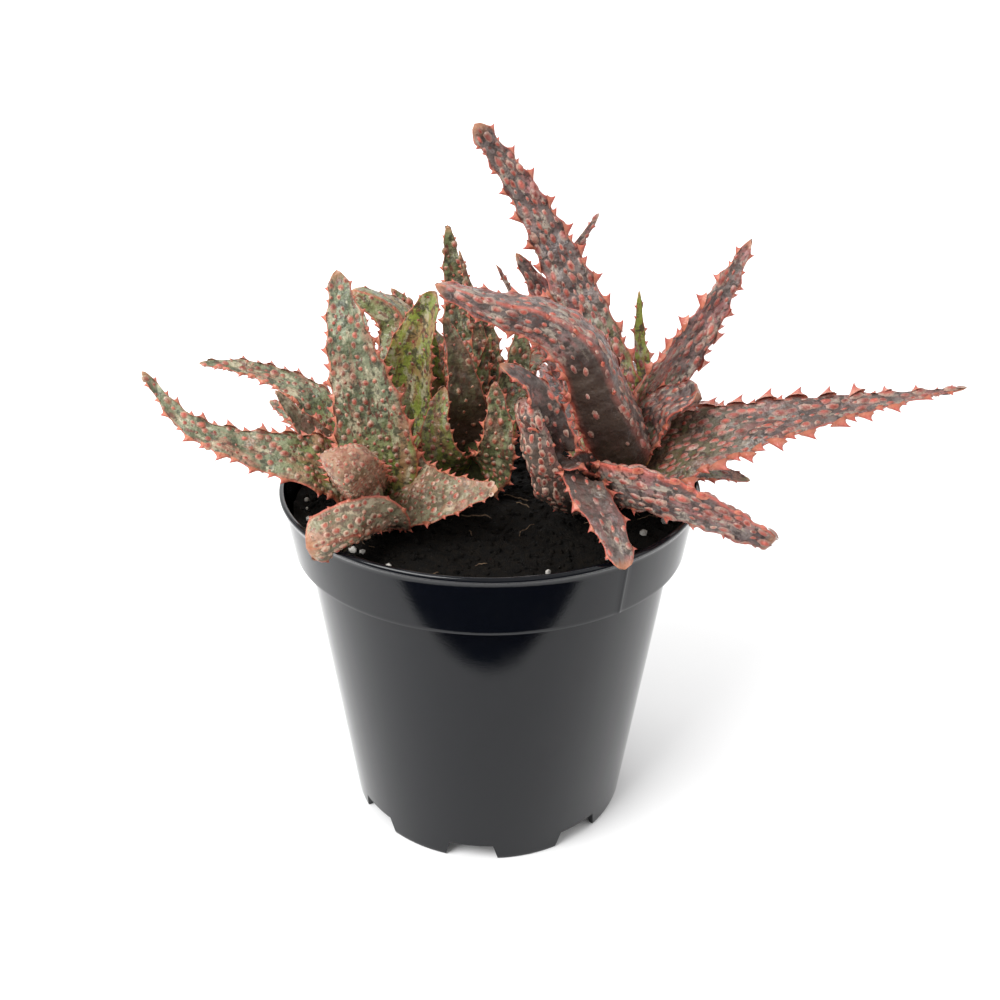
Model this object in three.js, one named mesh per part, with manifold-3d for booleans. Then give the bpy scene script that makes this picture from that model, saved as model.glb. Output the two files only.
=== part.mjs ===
// A clump of warty, toothed hybrid aloes in a black plastic nursery pot.
// Millimetres, +Z up, the pot's axis is the Z axis and its feet stand on z = 0.
// The front of the clump faces -Y.

import * as THREE from 'three';
import { mergeVertices } from 'three/addons/utils/BufferGeometryUtils.js';
import Module from 'manifold-3d';

const wasm = await Module();
wasm.setup();

// Driving dimensions

const CLEAR = 0.3; // air between two pieces that touch
const SLIVER = 0.2; // steps smaller than this are smoothed from a cut

const POT_HEIGHT = 92;
const POT_TOP_RADIUS = 52.5;
const POT_BASE_RADIUS = 37.4;
const POT_WALL = 1.3;
const BAND_HEIGHT = 15.7; // the stepped-out band below the rim
const BAND_LOW_RADIUS = 49.8;
const BODY_TOP_RADIUS = 46.8; // the body just below the band
const LIP = 0.7; // bead round the top edge
const FLOOR_RISE = 2.8; // underside of the floor above the table
const FOOT_RADIUS = 11; // flat boss under the middle of the floor
const POT_SIDES = 56;
const BAND_FOOT = POT_HEIGHT - BAND_HEIGHT;

const NOTCH_COUNT = 8; // slots between the feet
const NOTCH_HEIGHT = 4.8;
const NOTCH_TOP_ANGLE = 17;
const NOTCH_FOOT_ANGLE = 30; // as far below the table as the slot is high
const NOTCH_FIRST = -96.4; // heading of the slot nearest the front
const NOTCH_REACH = 23; // radius under the floor to which a slot runs in

const SOIL_LEVEL = 86;
const SOIL_LUMP = 0.7; // how far the soil's surface rises and falls
const SOIL_EDGE = 1.5; // how far the surface drops at the pot's wall, in lumps
const SOIL_SIDES = 28;
const SOIL_RINGS = 5; // from the middle of the surface to its edge
const SOIL_WAVES = [[0.31, 0.17], [-0.21, 0.43], [0.9, 0.8]]; // radians a millimetre along x and y

const STEM_SIDES = 12;
const STEM_CROWN = 0.6; // height of a stem's rounded crown, in radii
const CROWN_ANGLES = [0, 40]; // degrees up the crown

// Leaves

const LEAF_CLEAR = 0.45; // air between two leaves
const BLADE_MIN = 1.2; // thinnest blade, at its tip
const BROAD_LEAF = 20.5; // leaves at least this wide have more points across their upper face
const TOOTH_PITCH = 7; // along a leaf's margin
const TOOTH_LEAN = 1; // how far a tooth points towards the leaf's tip
const TOOTH_LEAST = 0.3; // share of its size that a tooth has at the leaf's root and tip
const TOOTH_GROWS = 3; // how fast teeth grow from the root, a share of their size to one of its length
const TOOTH_FADES = 2; // and how fast they shrink to the tip
const WART_HEIGHT = 0.6;
const WART_FADE = 4; // half width below which warts shrink
const WAIST = 0.7; // share of its width that a leaf has where it leaves the stem
const WAIST_LENGTH = 0.15; // share of its length in which it widens from there

// The section of a leaf, across in half widths, high and low in depths from its midrib

const CREST_HIGH = 0.3; // middle of the upper face
const SHOULDER_ACROSS = 0.5;
const SHOULDER_HIGH = 0.35;
const MARGIN_HIGH = 0.2; // in millimetres
const FLANK_ACROSS = 0.62;
const FLANK_LOW = 0.4;
const KEEL_LOW = 0.7;
const HOLLOW_MOST = 0.8; // depth of the channel in half widths where it is fully hollow
const SHOULDER_HOLLOW = 0.7; // share of the channel's depth by which the shoulders sink
const FLANK_HOLLOW = 0.5; // and the flanks
const KEEL_WART = 1.5; // size of the keel's teeth in warts
const THICK_FALL = 0.7; // how a leaf thins towards its tip: below 1 slower than it narrows
const MARGIN_ROOM = 1.5; // room beside a margin, in gaps between leaves
const TIP_ROOM = 2; // room before a tip, in such gaps

// Stems: x, y of the axis, the lowest and highest points and the radius

const STEMS = {
  left: { x: -31, y: -2, low: 64, high: 97, radius: 5.5 },
  middle: { x: -4, y: 7, low: 66, high: 99, radius: 4 },
  right: { x: 34, y: 0, low: 62, high: 102, radius: 6 },
};

// Leaves of each stem, the innermost first. Each has the height of its root on the stem, the points
// that its midrib passes on the way to its tip, its width and depth, and the way its upper face looks
// at the root (face) and at the tip (turn). Its slope says how its width falls towards the tip: below 1
// it stays broad, above 1 it flares only at the root. Its channel is how hollow the upper face is, its
// blunt how much of its width is left at the tip, and its teeth how large they are.

const LEFT_LEAVES = [
  {
    name: 'inner',
    root: 95,
    path: [[-30, 1, 112], [-32, 3, 124]],
    width: 9,
    depth: 3.5,
    face: [0, -1, 0.2],
  },
  {
    name: 'upright',
    root: 92,
    path: [[-27, -13, 101], [-28, -14, 113], [-32, -12, 130], [-35, -5, 145]],
    width: 24,
    depth: 5,
    face: [0.1, -1, 0.4],
    slope: 0.75,
    channel: 0.25,
    teeth: 1.4,
  },
  {
    name: 'channelled',
    root: 92,
    path: [[-22, 4, 109], [-19, 2, 124], [-13, -4, 140]],
    width: 20,
    depth: 4.5,
    face: [-0.3, -1, 0.3],
    slope: 0.6,
    channel: 0.6,
    teeth: 1,
  },
  {
    name: 'incurved',
    root: 93,
    path: [[-22, 12, 113], [-24, 17, 127], [-35, 15, 135]],
    width: 24,
    depth: 5,
    face: [-0.2, 0.7, -0.8],
    slope: 0.6,
    teeth: 1.2,
  },
  {
    name: 'hooked',
    root: 91,
    path: [[-31, -14, 97], [-30, -28, 106], [-30, -37, 112], [-30.5, -41, 115.5]],
    width: 13.5,
    depth: 10,
    face: [0, 0.4, 1],
    slope: 0.35,
    channel: 0,
    blunt: 0.7,
    teeth: 1.4,
  },
  {
    name: 'long',
    root: 91,
    path: [[-44, -14, 102], [-59, -17, 107], [-70, -16, 112], [-80, -12, 123]],
    width: 21,
    depth: 6,
    face: [0.1, -0.7, 0.8],
    slope: 1.3,
    channel: 0.2,
    teeth: 1.5,
  },
  {
    name: 'rear_long',
    root: 93,
    path: [[-46, 6, 111], [-60, 8, 117], [-72, 6, 119]],
    width: 14,
    depth: 4,
    face: [0, -0.5, 0.9],
    slope: 0.9,
    teeth: 1.4,
  },
  {
    name: 'purple',
    root: 92,
    path: [[-45, -3, 106], [-52, -2, 115]],
    width: 12,
    depth: 3.5,
    face: [0, -0.6, 0.8],
    slope: 0.9,
    teeth: 1.4,
  },
  {
    name: 'drooping',
    root: 90,
    path: [[-24, -23, 95], [-31, -36, 96], [-39, -44, 94.5]],
    width: 19,
    depth: 5,
    face: [0.4, 0.9, 0.1],
    slope: 0.45,
    blunt: 0.35,
    teeth: 1,
  },
  {
    name: 'short',
    root: 89,
    path: [[-14, -22, 96], [2, -32, 103]],
    width: 31,
    depth: 4,
    face: [-0.2, -0.7, 0.8],
    slope: 1,
    channel: 0.15,
    teeth: 1.2,
  },
  {
    name: 'back_high',
    root: 92,
    path: [[-33, 15, 113], [-34, 27, 127]],
    width: 16,
    depth: 4.5,
    face: [0, -1, 0.6],
  },
  {
    name: 'back_left',
    root: 90,
    path: [[-46, 14, 98], [-60, 26, 102]],
    width: 18,
    depth: 5,
    face: [0, -0.3, 1],
  },
  {
    name: 'back',
    root: 91,
    path: [[-33, 20, 103], [-36, 42, 108]],
    width: 19,
    depth: 5,
    face: [0, -0.4, 1],
  },
  {
    name: 'back_right',
    root: 89,
    path: [[-20, 18, 98], [-12, 38, 103]],
    width: 17,
    depth: 5,
    face: [0, -0.4, 1],
  },
];

const MIDDLE_LEAVES = [
  {
    name: 'inner',
    root: 97,
    path: [[-3, 8, 112], [0, 9, 126]],
    width: 8,
    depth: 3,
    face: [0, -1, 0.2],
  },
  {
    name: 'dark',
    root: 93,
    path: [[-6, 0, 112], [-8, -1, 124], [-11, -1, 133]],
    width: 15,
    depth: 4,
    face: [0.2, -1, 0.3],
    slope: 0.8,
    teeth: 0.8,
  },
  {
    name: 'green',
    root: 91,
    path: [[-13, 5, 109], [-14, 6, 127]],
    width: 12,
    depth: 3,
    face: [0, -1, 0.2],
  },
  {
    name: 'warty',
    root: 88,
    path: [[1, -8, 99], [2, -10, 109], [1, -9, 120]],
    width: 15,
    depth: 4,
    face: [-0.2, -1, 0.3],
    slope: 0.7,
  },
  {
    name: 'low',
    root: 88,
    path: [[-11, -5, 97], [-13, -6, 107], [-11, -4, 117]],
    width: 15,
    depth: 4,
    face: [-0.1, -1, 0.3],
    slope: 0.7,
    teeth: 1,
  },
  {
    name: 'rear_right',
    root: 93,
    path: [[6, 12, 113], [8, 14, 131]],
    width: 15,
    depth: 3.5,
    face: [0, -1, 0.2],
  },
  {
    name: 'rear',
    root: 94,
    path: [[0, 16, 116], [-2, 18, 132]],
    width: 12,
    depth: 3.5,
    face: [0, -1, 0.2],
  },
  {
    name: 'tall',
    root: 93,
    path: [[-8, 20, 124], [-11, 22, 150]],
    width: 15,
    depth: 4.5,
    face: [0, -1, 0.3],
    slope: 0.8,
    teeth: 1.2,
  },
  {
    name: 'back_left',
    root: 92,
    path: [[-16, 22, 120], [-26, 26, 133]],
    width: 15,
    depth: 4,
    face: [0.2, -0.8, 0.6],
    slope: 0.8,
    teeth: 1.5,
  },
  {
    name: 'slender',
    root: 93,
    path: [[-3, 16, 122], [-8, 17, 145]],
    width: 7,
    depth: 3,
    face: [0, -1, 0.3],
  },
  {
    name: 'back_right',
    root: 91,
    path: [[7, 22, 110], [17, 37, 117]],
    width: 16,
    depth: 4.5,
    face: [0, -0.7, 0.8],
  },
  {
    name: 'back',
    root: 90,
    path: [[-3, 28, 104], [-4, 46, 110]],
    width: 18,
    depth: 5,
    face: [0, -0.4, 1],
  },
];

const RIGHT_LEAVES = [
  {
    name: 'arched',
    root: 96,
    path: [[31, -6, 105], [26, -11, 116], [20, -15, 130], [11, -17, 137], [1, -18, 140], [-12, -18, 145]],
    width: 21,
    depth: 8,
    face: [-0.4, 0.75, -0.45],
    turn: [0, 0.8, -0.55],
    slope: 0.7,
    channel: 0.4,
    teeth: 1.5,
  },
  {
    name: 'tall',
    root: 97,
    path: [[28, 8, 118], [18, 13, 141], [7, 14, 160], [-4, 10, 175]],
    width: 18,
    depth: 6,
    face: [-0.2, -1, 0.4],
    slope: 1,
    channel: 0.1,
    blunt: 0.18,
    teeth: 2,
  },
  {
    name: 'ridged',
    root: 98,
    path: [[41, -5, 112], [48, -12, 119]],
    width: 15,
    depth: 5,
    face: [-0.3, -0.6, 0.9],
    slope: 0.5,
    blunt: 0.25,
    teeth: 1.4,
  },
  {
    name: 'upright',
    root: 96,
    path: [[42, 2, 115], [52, 5, 131], [61, 7, 150]],
    width: 18,
    depth: 6,
    face: [0.64, -0.73, -0.25],
    turn: [-0.1, -1, 0.2],
    slope: 0.9,
    channel: 0.5,
    teeth: 2,
  },
  {
    name: 'long',
    root: 94,
    path: [[54, -9, 107], [80, -10, 114], [112, -8, 119]],
    width: 26,
    depth: 8,
    face: [-0.2, -0.6, 0.9],
    slope: 1.4,
    blunt: 0.03,
    channel: 0.25,
    teeth: 2.3,
  },
  {
    name: 'inner',
    root: 96,
    path: [[25, 4, 114], [17, 7, 129]],
    width: 16,
    depth: 4,
    face: [-0.2, -1, 0.2],
  },
  {
    name: 'green',
    root: 95,
    path: [[40, 11, 108], [38, 18, 122], [37, 18, 135]],
    width: 8,
    depth: 3,
    face: [0, -1, 0.2],
  },
  {
    name: 'front_left',
    root: 93,
    path: [[18, -21, 105], [13, -28, 118], [9, -31, 127], [2, -32, 132]],
    width: 14,
    depth: 4.5,
    face: [-0.5, -0.6, 0.7],
    turn: [-0.2, -0.5, 1],
    slope: 0.6,
    teeth: 1.6,
  },
  {
    name: 'front_low',
    root: 92,
    path: [[33, -24, 103], [46, -32, 101], [63, -38, 94]],
    width: 19,
    depth: 9,
    face: [0.2, 0.7, 1],
    slope: 0.5,
    blunt: 0.15,
    teeth: 1.6,
  },
  {
    name: 'knobbly',
    root: 88,
    path: [[17, -16, 95], [11, -25, 110], [8, -29, 123]],
    width: 15,
    depth: 5,
    face: [0.6, 0.6, 0.5],
    slope: 0.5,
    blunt: 0.3,
    teeth: 1,
  },
  {
    name: 'hanging',
    root: 90,
    path: [[21, -26, 103], [26, -40, 98], [29, -48, 92]],
    width: 13,
    depth: 4.5,
    face: [0.2, -0.8, 0.6],
    slope: 0.6,
    blunt: 0.25,
    teeth: 1.4,
  },
  {
    name: 'under',
    root: 90,
    path: [[52, 0, 94], [66, 0, 91]],
    width: 15,
    depth: 3.5,
    face: [0, -0.5, 1],
  },
  {
    name: 'behind',
    root: 95,
    path: [[24, 22, 131], [21, 27, 141], [27, 28, 152]],
    width: 10,
    depth: 4,
    face: [0.2, -1, 0.2],
  },
  {
    name: 'grey',
    root: 94,
    path: [[16, 22, 128], [6, 23, 143]],
    width: 17,
    depth: 4.5,
    face: [0, -1, 0.4],
    slope: 0.8,
  },
  {
    name: 'thin',
    root: 93,
    path: [[10, 26, 124], [1, 28, 139]],
    width: 7,
    depth: 3,
    face: [0, -1, 0.4],
  },
  {
    name: 'back_high',
    root: 94,
    path: [[43, 14, 108], [50, 30, 114]],
    width: 17,
    depth: 4.5,
    face: [0, -0.7, 0.8],
  },
  {
    name: 'back_right',
    root: 91,
    path: [[50, 20, 99], [64, 38, 98]],
    width: 19,
    depth: 5,
    face: [0, -0.4, 1],
  },
  {
    name: 'back',
    root: 91,
    path: [[38, 26, 103], [42, 50, 106]],
    width: 20,
    depth: 5,
    face: [0, -0.4, 1],
  },
  {
    name: 'back_left',
    root: 90,
    path: [[20, 24, 101], [14, 48, 106]],
    width: 19,
    depth: 5,
    face: [0, -0.4, 1],
  },
];

// Solids

// A closed geometry as a solid that can be joined and cut.
function solidOf(geometry) {
  const bare = geometry.index ? geometry.toNonIndexed() : geometry.clone();
  bare.deleteAttribute('normal');
  bare.deleteAttribute('uv');
  const merged = mergeVertices(bare, 1e-4);
  const corners = merged.index.array;
  const kept = [];
  for (let i = 0; i < corners.length; i += 3) {
    const [a, b, c] = [corners[i], corners[i + 1], corners[i + 2]];
    if (a !== b && b !== c && c !== a) {
      kept.push(a, b, c);
    }
  }
  const skin = new wasm.Mesh({
    numProp: 3,
    vertProperties: merged.attributes.position.array,
    triVerts: new Uint32Array(kept),
  });
  return new wasm.Manifold(skin);
}

// The largest of the bodies that a cut leaves, without the slivers along the cut.
function largestBody(solid) {
  const bodies = solid.simplify(SLIVER).decompose();
  return bodies.reduce((best, body) => (body.volume() > best.volume() ? body : best));
}

// A named mesh of a solid, with the finish of its piece.
function meshOf(name, solid, finish) {
  const made = solid.getMesh();
  const geometry = new THREE.BufferGeometry();
  geometry.setAttribute('position', new THREE.BufferAttribute(new Float32Array(made.vertProperties), 3));
  geometry.setIndex(new THREE.BufferAttribute(new Uint32Array(made.triVerts), 1));
  geometry.computeVertexNormals();
  const mesh = new THREE.Mesh(geometry, new THREE.MeshStandardMaterial(finish));
  mesh.name = name;
  return mesh;
}

// A turned solid about the pot's axis: its profile of radius and height runs counter-clockwise.
function turned(profile, sides) {
  const points = profile.map(([radius, height]) => new THREE.Vector2(radius, height));
  return new THREE.LatheGeometry(points, sides).rotateX(Math.PI / 2);
}

// Pot

// The radius of the slanted body or band at a height, outside.
function bodyAt(height) {
  return POT_BASE_RADIUS + ((BODY_TOP_RADIUS - POT_BASE_RADIUS) * height) / BAND_FOOT;
}

function bandAt(height) {
  return BAND_LOW_RADIUS + ((POT_TOP_RADIUS - BAND_LOW_RADIUS) * (height - BAND_FOOT)) / BAND_HEIGHT;
}

// The pot's outline from the middle of its underside, up the outside and down the inside. A grown
// outline has all its faces moved out by that much.
function potProfile(grow) {
  const inner = POT_WALL + grow;
  const floorTop = FLOOR_RISE + POT_WALL;
  return [
    [0, -grow],
    [FOOT_RADIUS, -grow],
    [FOOT_RADIUS, FLOOR_RISE],
    [POT_BASE_RADIUS - POT_WALL, FLOOR_RISE],
    [POT_BASE_RADIUS - POT_WALL, -grow],
    [POT_BASE_RADIUS + grow, -grow],
    [BODY_TOP_RADIUS + grow, BAND_FOOT - grow],
    [BAND_LOW_RADIUS + grow, BAND_FOOT - grow],
    [POT_TOP_RADIUS - LIP + grow, POT_HEIGHT - 2 * LIP],
    [POT_TOP_RADIUS + grow, POT_HEIGHT - LIP],
    [POT_TOP_RADIUS - LIP / 2 + grow, POT_HEIGHT + grow],
    [POT_TOP_RADIUS - POT_WALL - grow, POT_HEIGHT + grow],
    [BAND_LOW_RADIUS - inner, BAND_FOOT + POT_WALL],
    [BODY_TOP_RADIUS - inner, BAND_FOOT],
    [bodyAt(floorTop) - inner, floorTop + grow],
    [0, floorTop + grow],
  ];
}

// One wedge through the foot ring, wider at the table than at its top.
function notchWedge(heading) {
  const corner = (angle, radius, height) => {
    const turn = THREE.MathUtils.degToRad(angle);
    return [radius * Math.cos(turn), radius * Math.sin(turn), height];
  };
  const edges = [
    [NOTCH_REACH, -NOTCH_HEIGHT, NOTCH_FOOT_ANGLE],
    [POT_TOP_RADIUS, -NOTCH_HEIGHT, NOTCH_FOOT_ANGLE],
    [POT_TOP_RADIUS, NOTCH_HEIGHT, NOTCH_TOP_ANGLE],
    [NOTCH_REACH, NOTCH_HEIGHT, NOTCH_TOP_ANGLE],
  ];
  const corners = [];
  for (const [radius, height, width] of edges) {
    corners.push(corner(heading - width / 2, radius, height));
    corners.push(corner(heading + width / 2, radius, height));
  }
  const faces = [
    [0, 1, 3, 2],
    [2, 3, 5, 4],
    [4, 5, 7, 6],
    [6, 7, 1, 0],
    [0, 2, 4, 6],
    [1, 7, 5, 3],
  ];
  const triangles = faces.flatMap(([a, b, c, d]) => [a, b, c, a, c, d]);
  const geometry = new THREE.BufferGeometry();
  geometry.setAttribute('position', new THREE.Float32BufferAttribute(corners.flat(), 3));
  geometry.setIndex(triangles);
  return solidOf(geometry);
}

function makePot() {
  let pot = solidOf(turned(potProfile(0), POT_SIDES));
  for (let slot = 0; slot < NOTCH_COUNT; slot += 1) {
    pot = pot.subtract(notchWedge(NOTCH_FIRST + (360 / NOTCH_COUNT) * slot));
  }
  return pot;
}

// Soil

// The fill of the pot, its top raised by lift. Its surface is crumbly: a sum of waves.
function makeSoil(lift) {
  const gap = POT_WALL + 2 * CLEAR;
  const floor = FLOOR_RISE + POT_WALL + CLEAR;
  const top = SOIL_LEVEL + lift;
  const edge = top - SOIL_LUMP * SOIL_EDGE;
  const rim = bandAt(edge) - gap;
  const profile = [
    [0, floor],
    [bodyAt(floor) - gap, floor],
    [BODY_TOP_RADIUS - gap, BAND_FOOT + CLEAR],
    [BAND_LOW_RADIUS - gap, BAND_FOOT + POT_WALL + 2 * CLEAR],
    [rim, edge],
  ];
  for (let ring = SOIL_RINGS - 1; ring >= 0; ring -= 1) {
    profile.push([(rim * ring) / SOIL_RINGS, top]);
  }
  const geometry = turned(profile, SOIL_SIDES);
  const spots = geometry.attributes.position;
  for (let i = 0; i < spots.count; i += 1) {
    if (spots.getZ(i) > edge + CLEAR) {
      spots.setZ(i, top + crumble(spots.getX(i), spots.getY(i)));
    }
  }
  return solidOf(geometry);
}

// How far the soil stands above or below its level at a place.
function crumble(x, y) {
  const waves = SOIL_WAVES.map(([alongX, alongY]) => Math.sin(x * alongX + y * alongY));
  return (SOIL_LUMP / 2) * waves.reduce((sum, wave) => sum + wave, 0);
}

// Stems

// A stem with a rounded crown, its faces moved out by grow.
function makeStem({ x, y, low, high, radius }, grow) {
  const wide = radius + grow;
  const crown = STEM_CROWN * radius + grow;
  const profile = [[0, low - grow]];
  profile.push([wide, low - grow]);
  for (const angle of CROWN_ANGLES) {
    const turn = THREE.MathUtils.degToRad(angle);
    profile.push([wide * Math.cos(turn), high + grow - crown * (1 - Math.sin(turn))]);
  }
  profile.push([0, high + grow]);
  return solidOf(turned(profile, STEM_SIDES).translate(x, y, 0));
}

// Leaves

// How much of its width a leaf has at a share of its length: narrow where it leaves the stem.
function taper(share, slope, blunt) {
  const waist = WAIST + (1 - WAIST) * Math.min(1, share / WAIST_LENGTH);
  return waist * (blunt + (1 - blunt) * Math.pow(1 - share, slope));
}

// The way the upper face looks at a share of the leaf's length, and the way across the leaf.
function facing({ face, turn = face }, share, along) {
  const up = new THREE.Vector3(...face).lerp(new THREE.Vector3(...turn), share);
  const side = new THREE.Vector3().crossVectors(up, along).normalize();
  up.crossVectors(along, side);
  return { up, side };
}

// The section of a leaf: for each corner the distance across the leaf, the height above its midrib and
// whether it looks up (1), down (-1) or out (0). Warts raise every other point of both faces: those of
// one side on the toothed rings, of the other between them, and all of them where full is set.
function leafSection({ half, thick, hollow, tooth, wart, toothed, full, broad }) {
  const raised = toothed || full ? wart : 0;
  const level = toothed && !full ? 0 : wart;
  const edge = half + (toothed || full ? tooth : 0);
  const crest = CREST_HIGH * thick - hollow + level;
  const shoulder = SHOULDER_HIGH * thick - SHOULDER_HOLLOW * hollow;
  const flank = -FLANK_LOW * thick - FLANK_HOLLOW * hollow;
  const keel = -KEEL_LOW * thick - hollow - KEEL_WART * raised;
  const upper = [[0, crest, 1]];
  if (broad) {
    upper.unshift([half * SHOULDER_ACROSS, shoulder + raised, 1]);
    upper.push([-half * SHOULDER_ACROSS, shoulder + level, 1]);
  }
  return [
    [edge, MARGIN_HIGH, 0],
    ...upper,
    [-edge, MARGIN_HIGH, 0],
    [-half * FLANK_ACROSS, flank - raised, -1],
    [0, keel, -1],
    [half * FLANK_ACROSS, flank - level, -1],
  ];
}

// The sizes of a leaf's section at a share of its length.
function sizesAt(leaf, share) {
  const { width, depth, slope = 0.9, channel = 0.3, blunt = 0.06, teeth = 1.2 } = leaf;
  const part = taper(share, slope, blunt);
  const half = (width / 2) * part;
  return {
    half,
    thick: Math.max(BLADE_MIN, depth * Math.pow(part, THICK_FALL)),
    hollow: HOLLOW_MOST * channel * half,
    tooth: teeth * Math.min(1, TOOTH_LEAST + TOOTH_GROWS * share, TOOTH_LEAST + TOOTH_FADES * (1 - share)),
    wart: WART_HEIGHT * Math.min(1, half / WART_FADE),
    broad: width >= BROAD_LEAF,
  };
}

// A leaf: a thick blade along its midrib, with a channelled upper face, a keeled back, saw teeth on
// both margins and on the keel, and warts on both faces. Its rings are half a tooth apart. With grow
// it is the room that the leaf takes from those outside it: its blade with every wart and tooth filled
// out, and its faces moved out by the air between two leaves.
function makeLeaf(leaf, stem, grow) {
  const start = new THREE.Vector3(stem.x, stem.y, leaf.root);
  const midrib = new THREE.CatmullRomCurve3([start, ...leaf.path.map((spot) => new THREE.Vector3(...spot))]);
  const rings = 2 * Math.max(3, Math.round(midrib.getLength() / TOOTH_PITCH));
  const corners = [];
  for (let ring = 0; ring < rings; ring += 1) {
    const share = ring / rings;
    const along = midrib.getTangentAt(share);
    const centre = midrib.getPointAt(share).addScaledVector(along, ring === 0 ? -grow : 0);
    const { up, side } = facing(leaf, share, along);
    const toothed = ring % 2 === 1;
    const shape = { ...sizesAt(leaf, share), toothed, full: grow > 0 };
    for (const [across, high, looks] of leafSection(shape)) {
      const margin = looks === 0;
      const spot = centre.clone();
      spot.addScaledVector(side, across + (margin ? Math.sign(across) * MARGIN_ROOM * grow : 0));
      spot.addScaledVector(up, high + (margin ? grow : looks * grow));
      spot.addScaledVector(along, margin && toothed ? TOOTH_LEAN : 0);
      corners.push(spot.toArray());
    }
  }
  corners.push(midrib.getPointAt(1).addScaledVector(midrib.getTangentAt(1), TIP_ROOM * grow).toArray());
  corners.push(start.addScaledVector(midrib.getTangentAt(0), -grow).toArray());
  return solidOf(loft(corners, rings));
}

// The skin over rings of corners, closed by a fan at the tip and one at the root.
function loft(corners, rings) {
  const sides = (corners.length - 2) / rings;
  const tip = rings * sides;
  const root = tip + 1;
  const triangles = [];
  for (let side = 0; side < sides; side += 1) {
    const next = (side + 1) % sides;
    for (let ring = 0; ring < rings - 1; ring += 1) {
      const [a, b] = [ring * sides + side, ring * sides + next];
      const [c, d] = [a + sides, b + sides];
      triangles.push(a, b, d, a, d, c);
    }
    triangles.push(root, next, side);
    triangles.push((rings - 1) * sides + side, (rings - 1) * sides + next, tip);
  }
  const geometry = new THREE.BufferGeometry();
  geometry.setAttribute('position', new THREE.Float32BufferAttribute(corners.flat(), 3));
  geometry.setIndex(triangles);
  return geometry;
}

// Assembly

const BLACK_PLASTIC = { color: 0x24262a, roughness: 0.28, metalness: 0 };
const PEAT = { color: 0x15120f, roughness: 0.95, metalness: 0 };
const STEM_SKIN = { color: 0x7d8a5c, roughness: 0.7, metalness: 0 };
const LEAF_SKINS = {
  left: { color: 0x93a08a, roughness: 0.6, metalness: 0 },
  middle: { color: 0x7d6f62, roughness: 0.6, metalness: 0 },
  right: { color: 0x8b7f80, roughness: 0.6, metalness: 0 },
};
const LEAVES = { left: LEFT_LEAVES, middle: MIDDLE_LEAVES, right: RIGHT_LEAVES };

const plant = new THREE.Group();
plant.add(meshOf('pot', makePot(), BLACK_PLASTIC));

const guards = [solidOf(turned(potProfile(CLEAR), POT_SIDES)), makeSoil(CLEAR)];
let soil = makeSoil(0);
for (const [side, stem] of Object.entries(STEMS)) {
  const clearStem = makeStem(stem, CLEAR);
  soil = soil.subtract(clearStem);
  guards.push(clearStem);
  plant.add(meshOf(`stem_${side}`, makeStem(stem, 0), STEM_SKIN));
}
plant.add(meshOf('soil', soil, PEAT));

for (const [side, leaves] of Object.entries(LEAVES)) {
  for (const leaf of leaves) {
    let blade = makeLeaf(leaf, STEMS[side], 0);
    for (const guard of guards) {
      blade = blade.subtract(guard);
    }
    guards.push(makeLeaf(leaf, STEMS[side], LEAF_CLEAR));
    plant.add(meshOf(`leaf_${side}_${leaf.name}`, largestBody(blade), LEAF_SKINS[side]));
  }
}

export default plant;
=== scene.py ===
"""A clump of warty, toothed aloe rosettes in a black plastic nursery pot.

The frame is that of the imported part: +Z up, the pot's axis is the Z axis, its feet stand on z = 0 and
the front of the clump faces -Y. Sizes are written in millimetres, and Shell.build turns them to metres.
"""

import logging
import math
from dataclasses import dataclass, field
from enum import Enum

import bpy
import numpy as np
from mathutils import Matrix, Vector, noise


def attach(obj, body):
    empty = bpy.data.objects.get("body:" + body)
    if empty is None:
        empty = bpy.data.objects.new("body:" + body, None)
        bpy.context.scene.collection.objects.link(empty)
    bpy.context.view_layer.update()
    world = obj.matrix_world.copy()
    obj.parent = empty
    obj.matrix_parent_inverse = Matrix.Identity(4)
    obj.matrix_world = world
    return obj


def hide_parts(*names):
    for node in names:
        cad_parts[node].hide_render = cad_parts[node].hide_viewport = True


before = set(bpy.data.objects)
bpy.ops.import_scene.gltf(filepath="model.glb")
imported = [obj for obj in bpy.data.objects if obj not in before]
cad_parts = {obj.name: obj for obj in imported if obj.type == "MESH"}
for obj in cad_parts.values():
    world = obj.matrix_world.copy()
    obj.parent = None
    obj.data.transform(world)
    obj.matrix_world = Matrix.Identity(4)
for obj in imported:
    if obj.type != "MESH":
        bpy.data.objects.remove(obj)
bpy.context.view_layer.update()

MM = 0.001
SEED = 20251
CURVE_STEPS = 40
SHORTEST = 1e-4

log = logging.getLogger("potted_aloe")

Range = tuple[float, float]
Spot = tuple[float, float, float]
Array = np.ndarray
Random = np.random.Generator
Object = bpy.types.Object
Socket = bpy.types.NodeSocket


class Tone(Enum):
    """How one leaf differs from its rosette: in its skin, and in the painted shade laid over it."""

    PLAIN = "plain"
    DARK = "dark"
    GREEN = "green"
    KNOBBLY = "knobbly"
    SMOOTH = "smooth"
    MOSSY = "mossy"
    KNOB = "knob"
    HALF = "half"
    DUSKY = "dusky"
    STUDDED = "studded"


@dataclass(frozen=True)
class Leaf:
    """One leaf, in millimetres.

    It has the height of its root on the stem, the points that its midrib passes on the way to its tip,
    its width and depth, and the way its upper face looks at the root (face) and at the tip (turn). Its
    slope says how its width falls towards the tip, its channel how hollow the upper face is, its blunt
    how much of its width is left at the tip, and its teeth how large they are.
    """

    name: str
    root: float
    path: tuple[Spot, ...]
    width: float
    depth: float
    face: Spot
    turn: Spot | None = None
    slope: float = 0.9
    channel: float = 0.3
    blunt: float = 0.06
    teeth: float = 1.2
    tone: Tone = Tone.PLAIN


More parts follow.
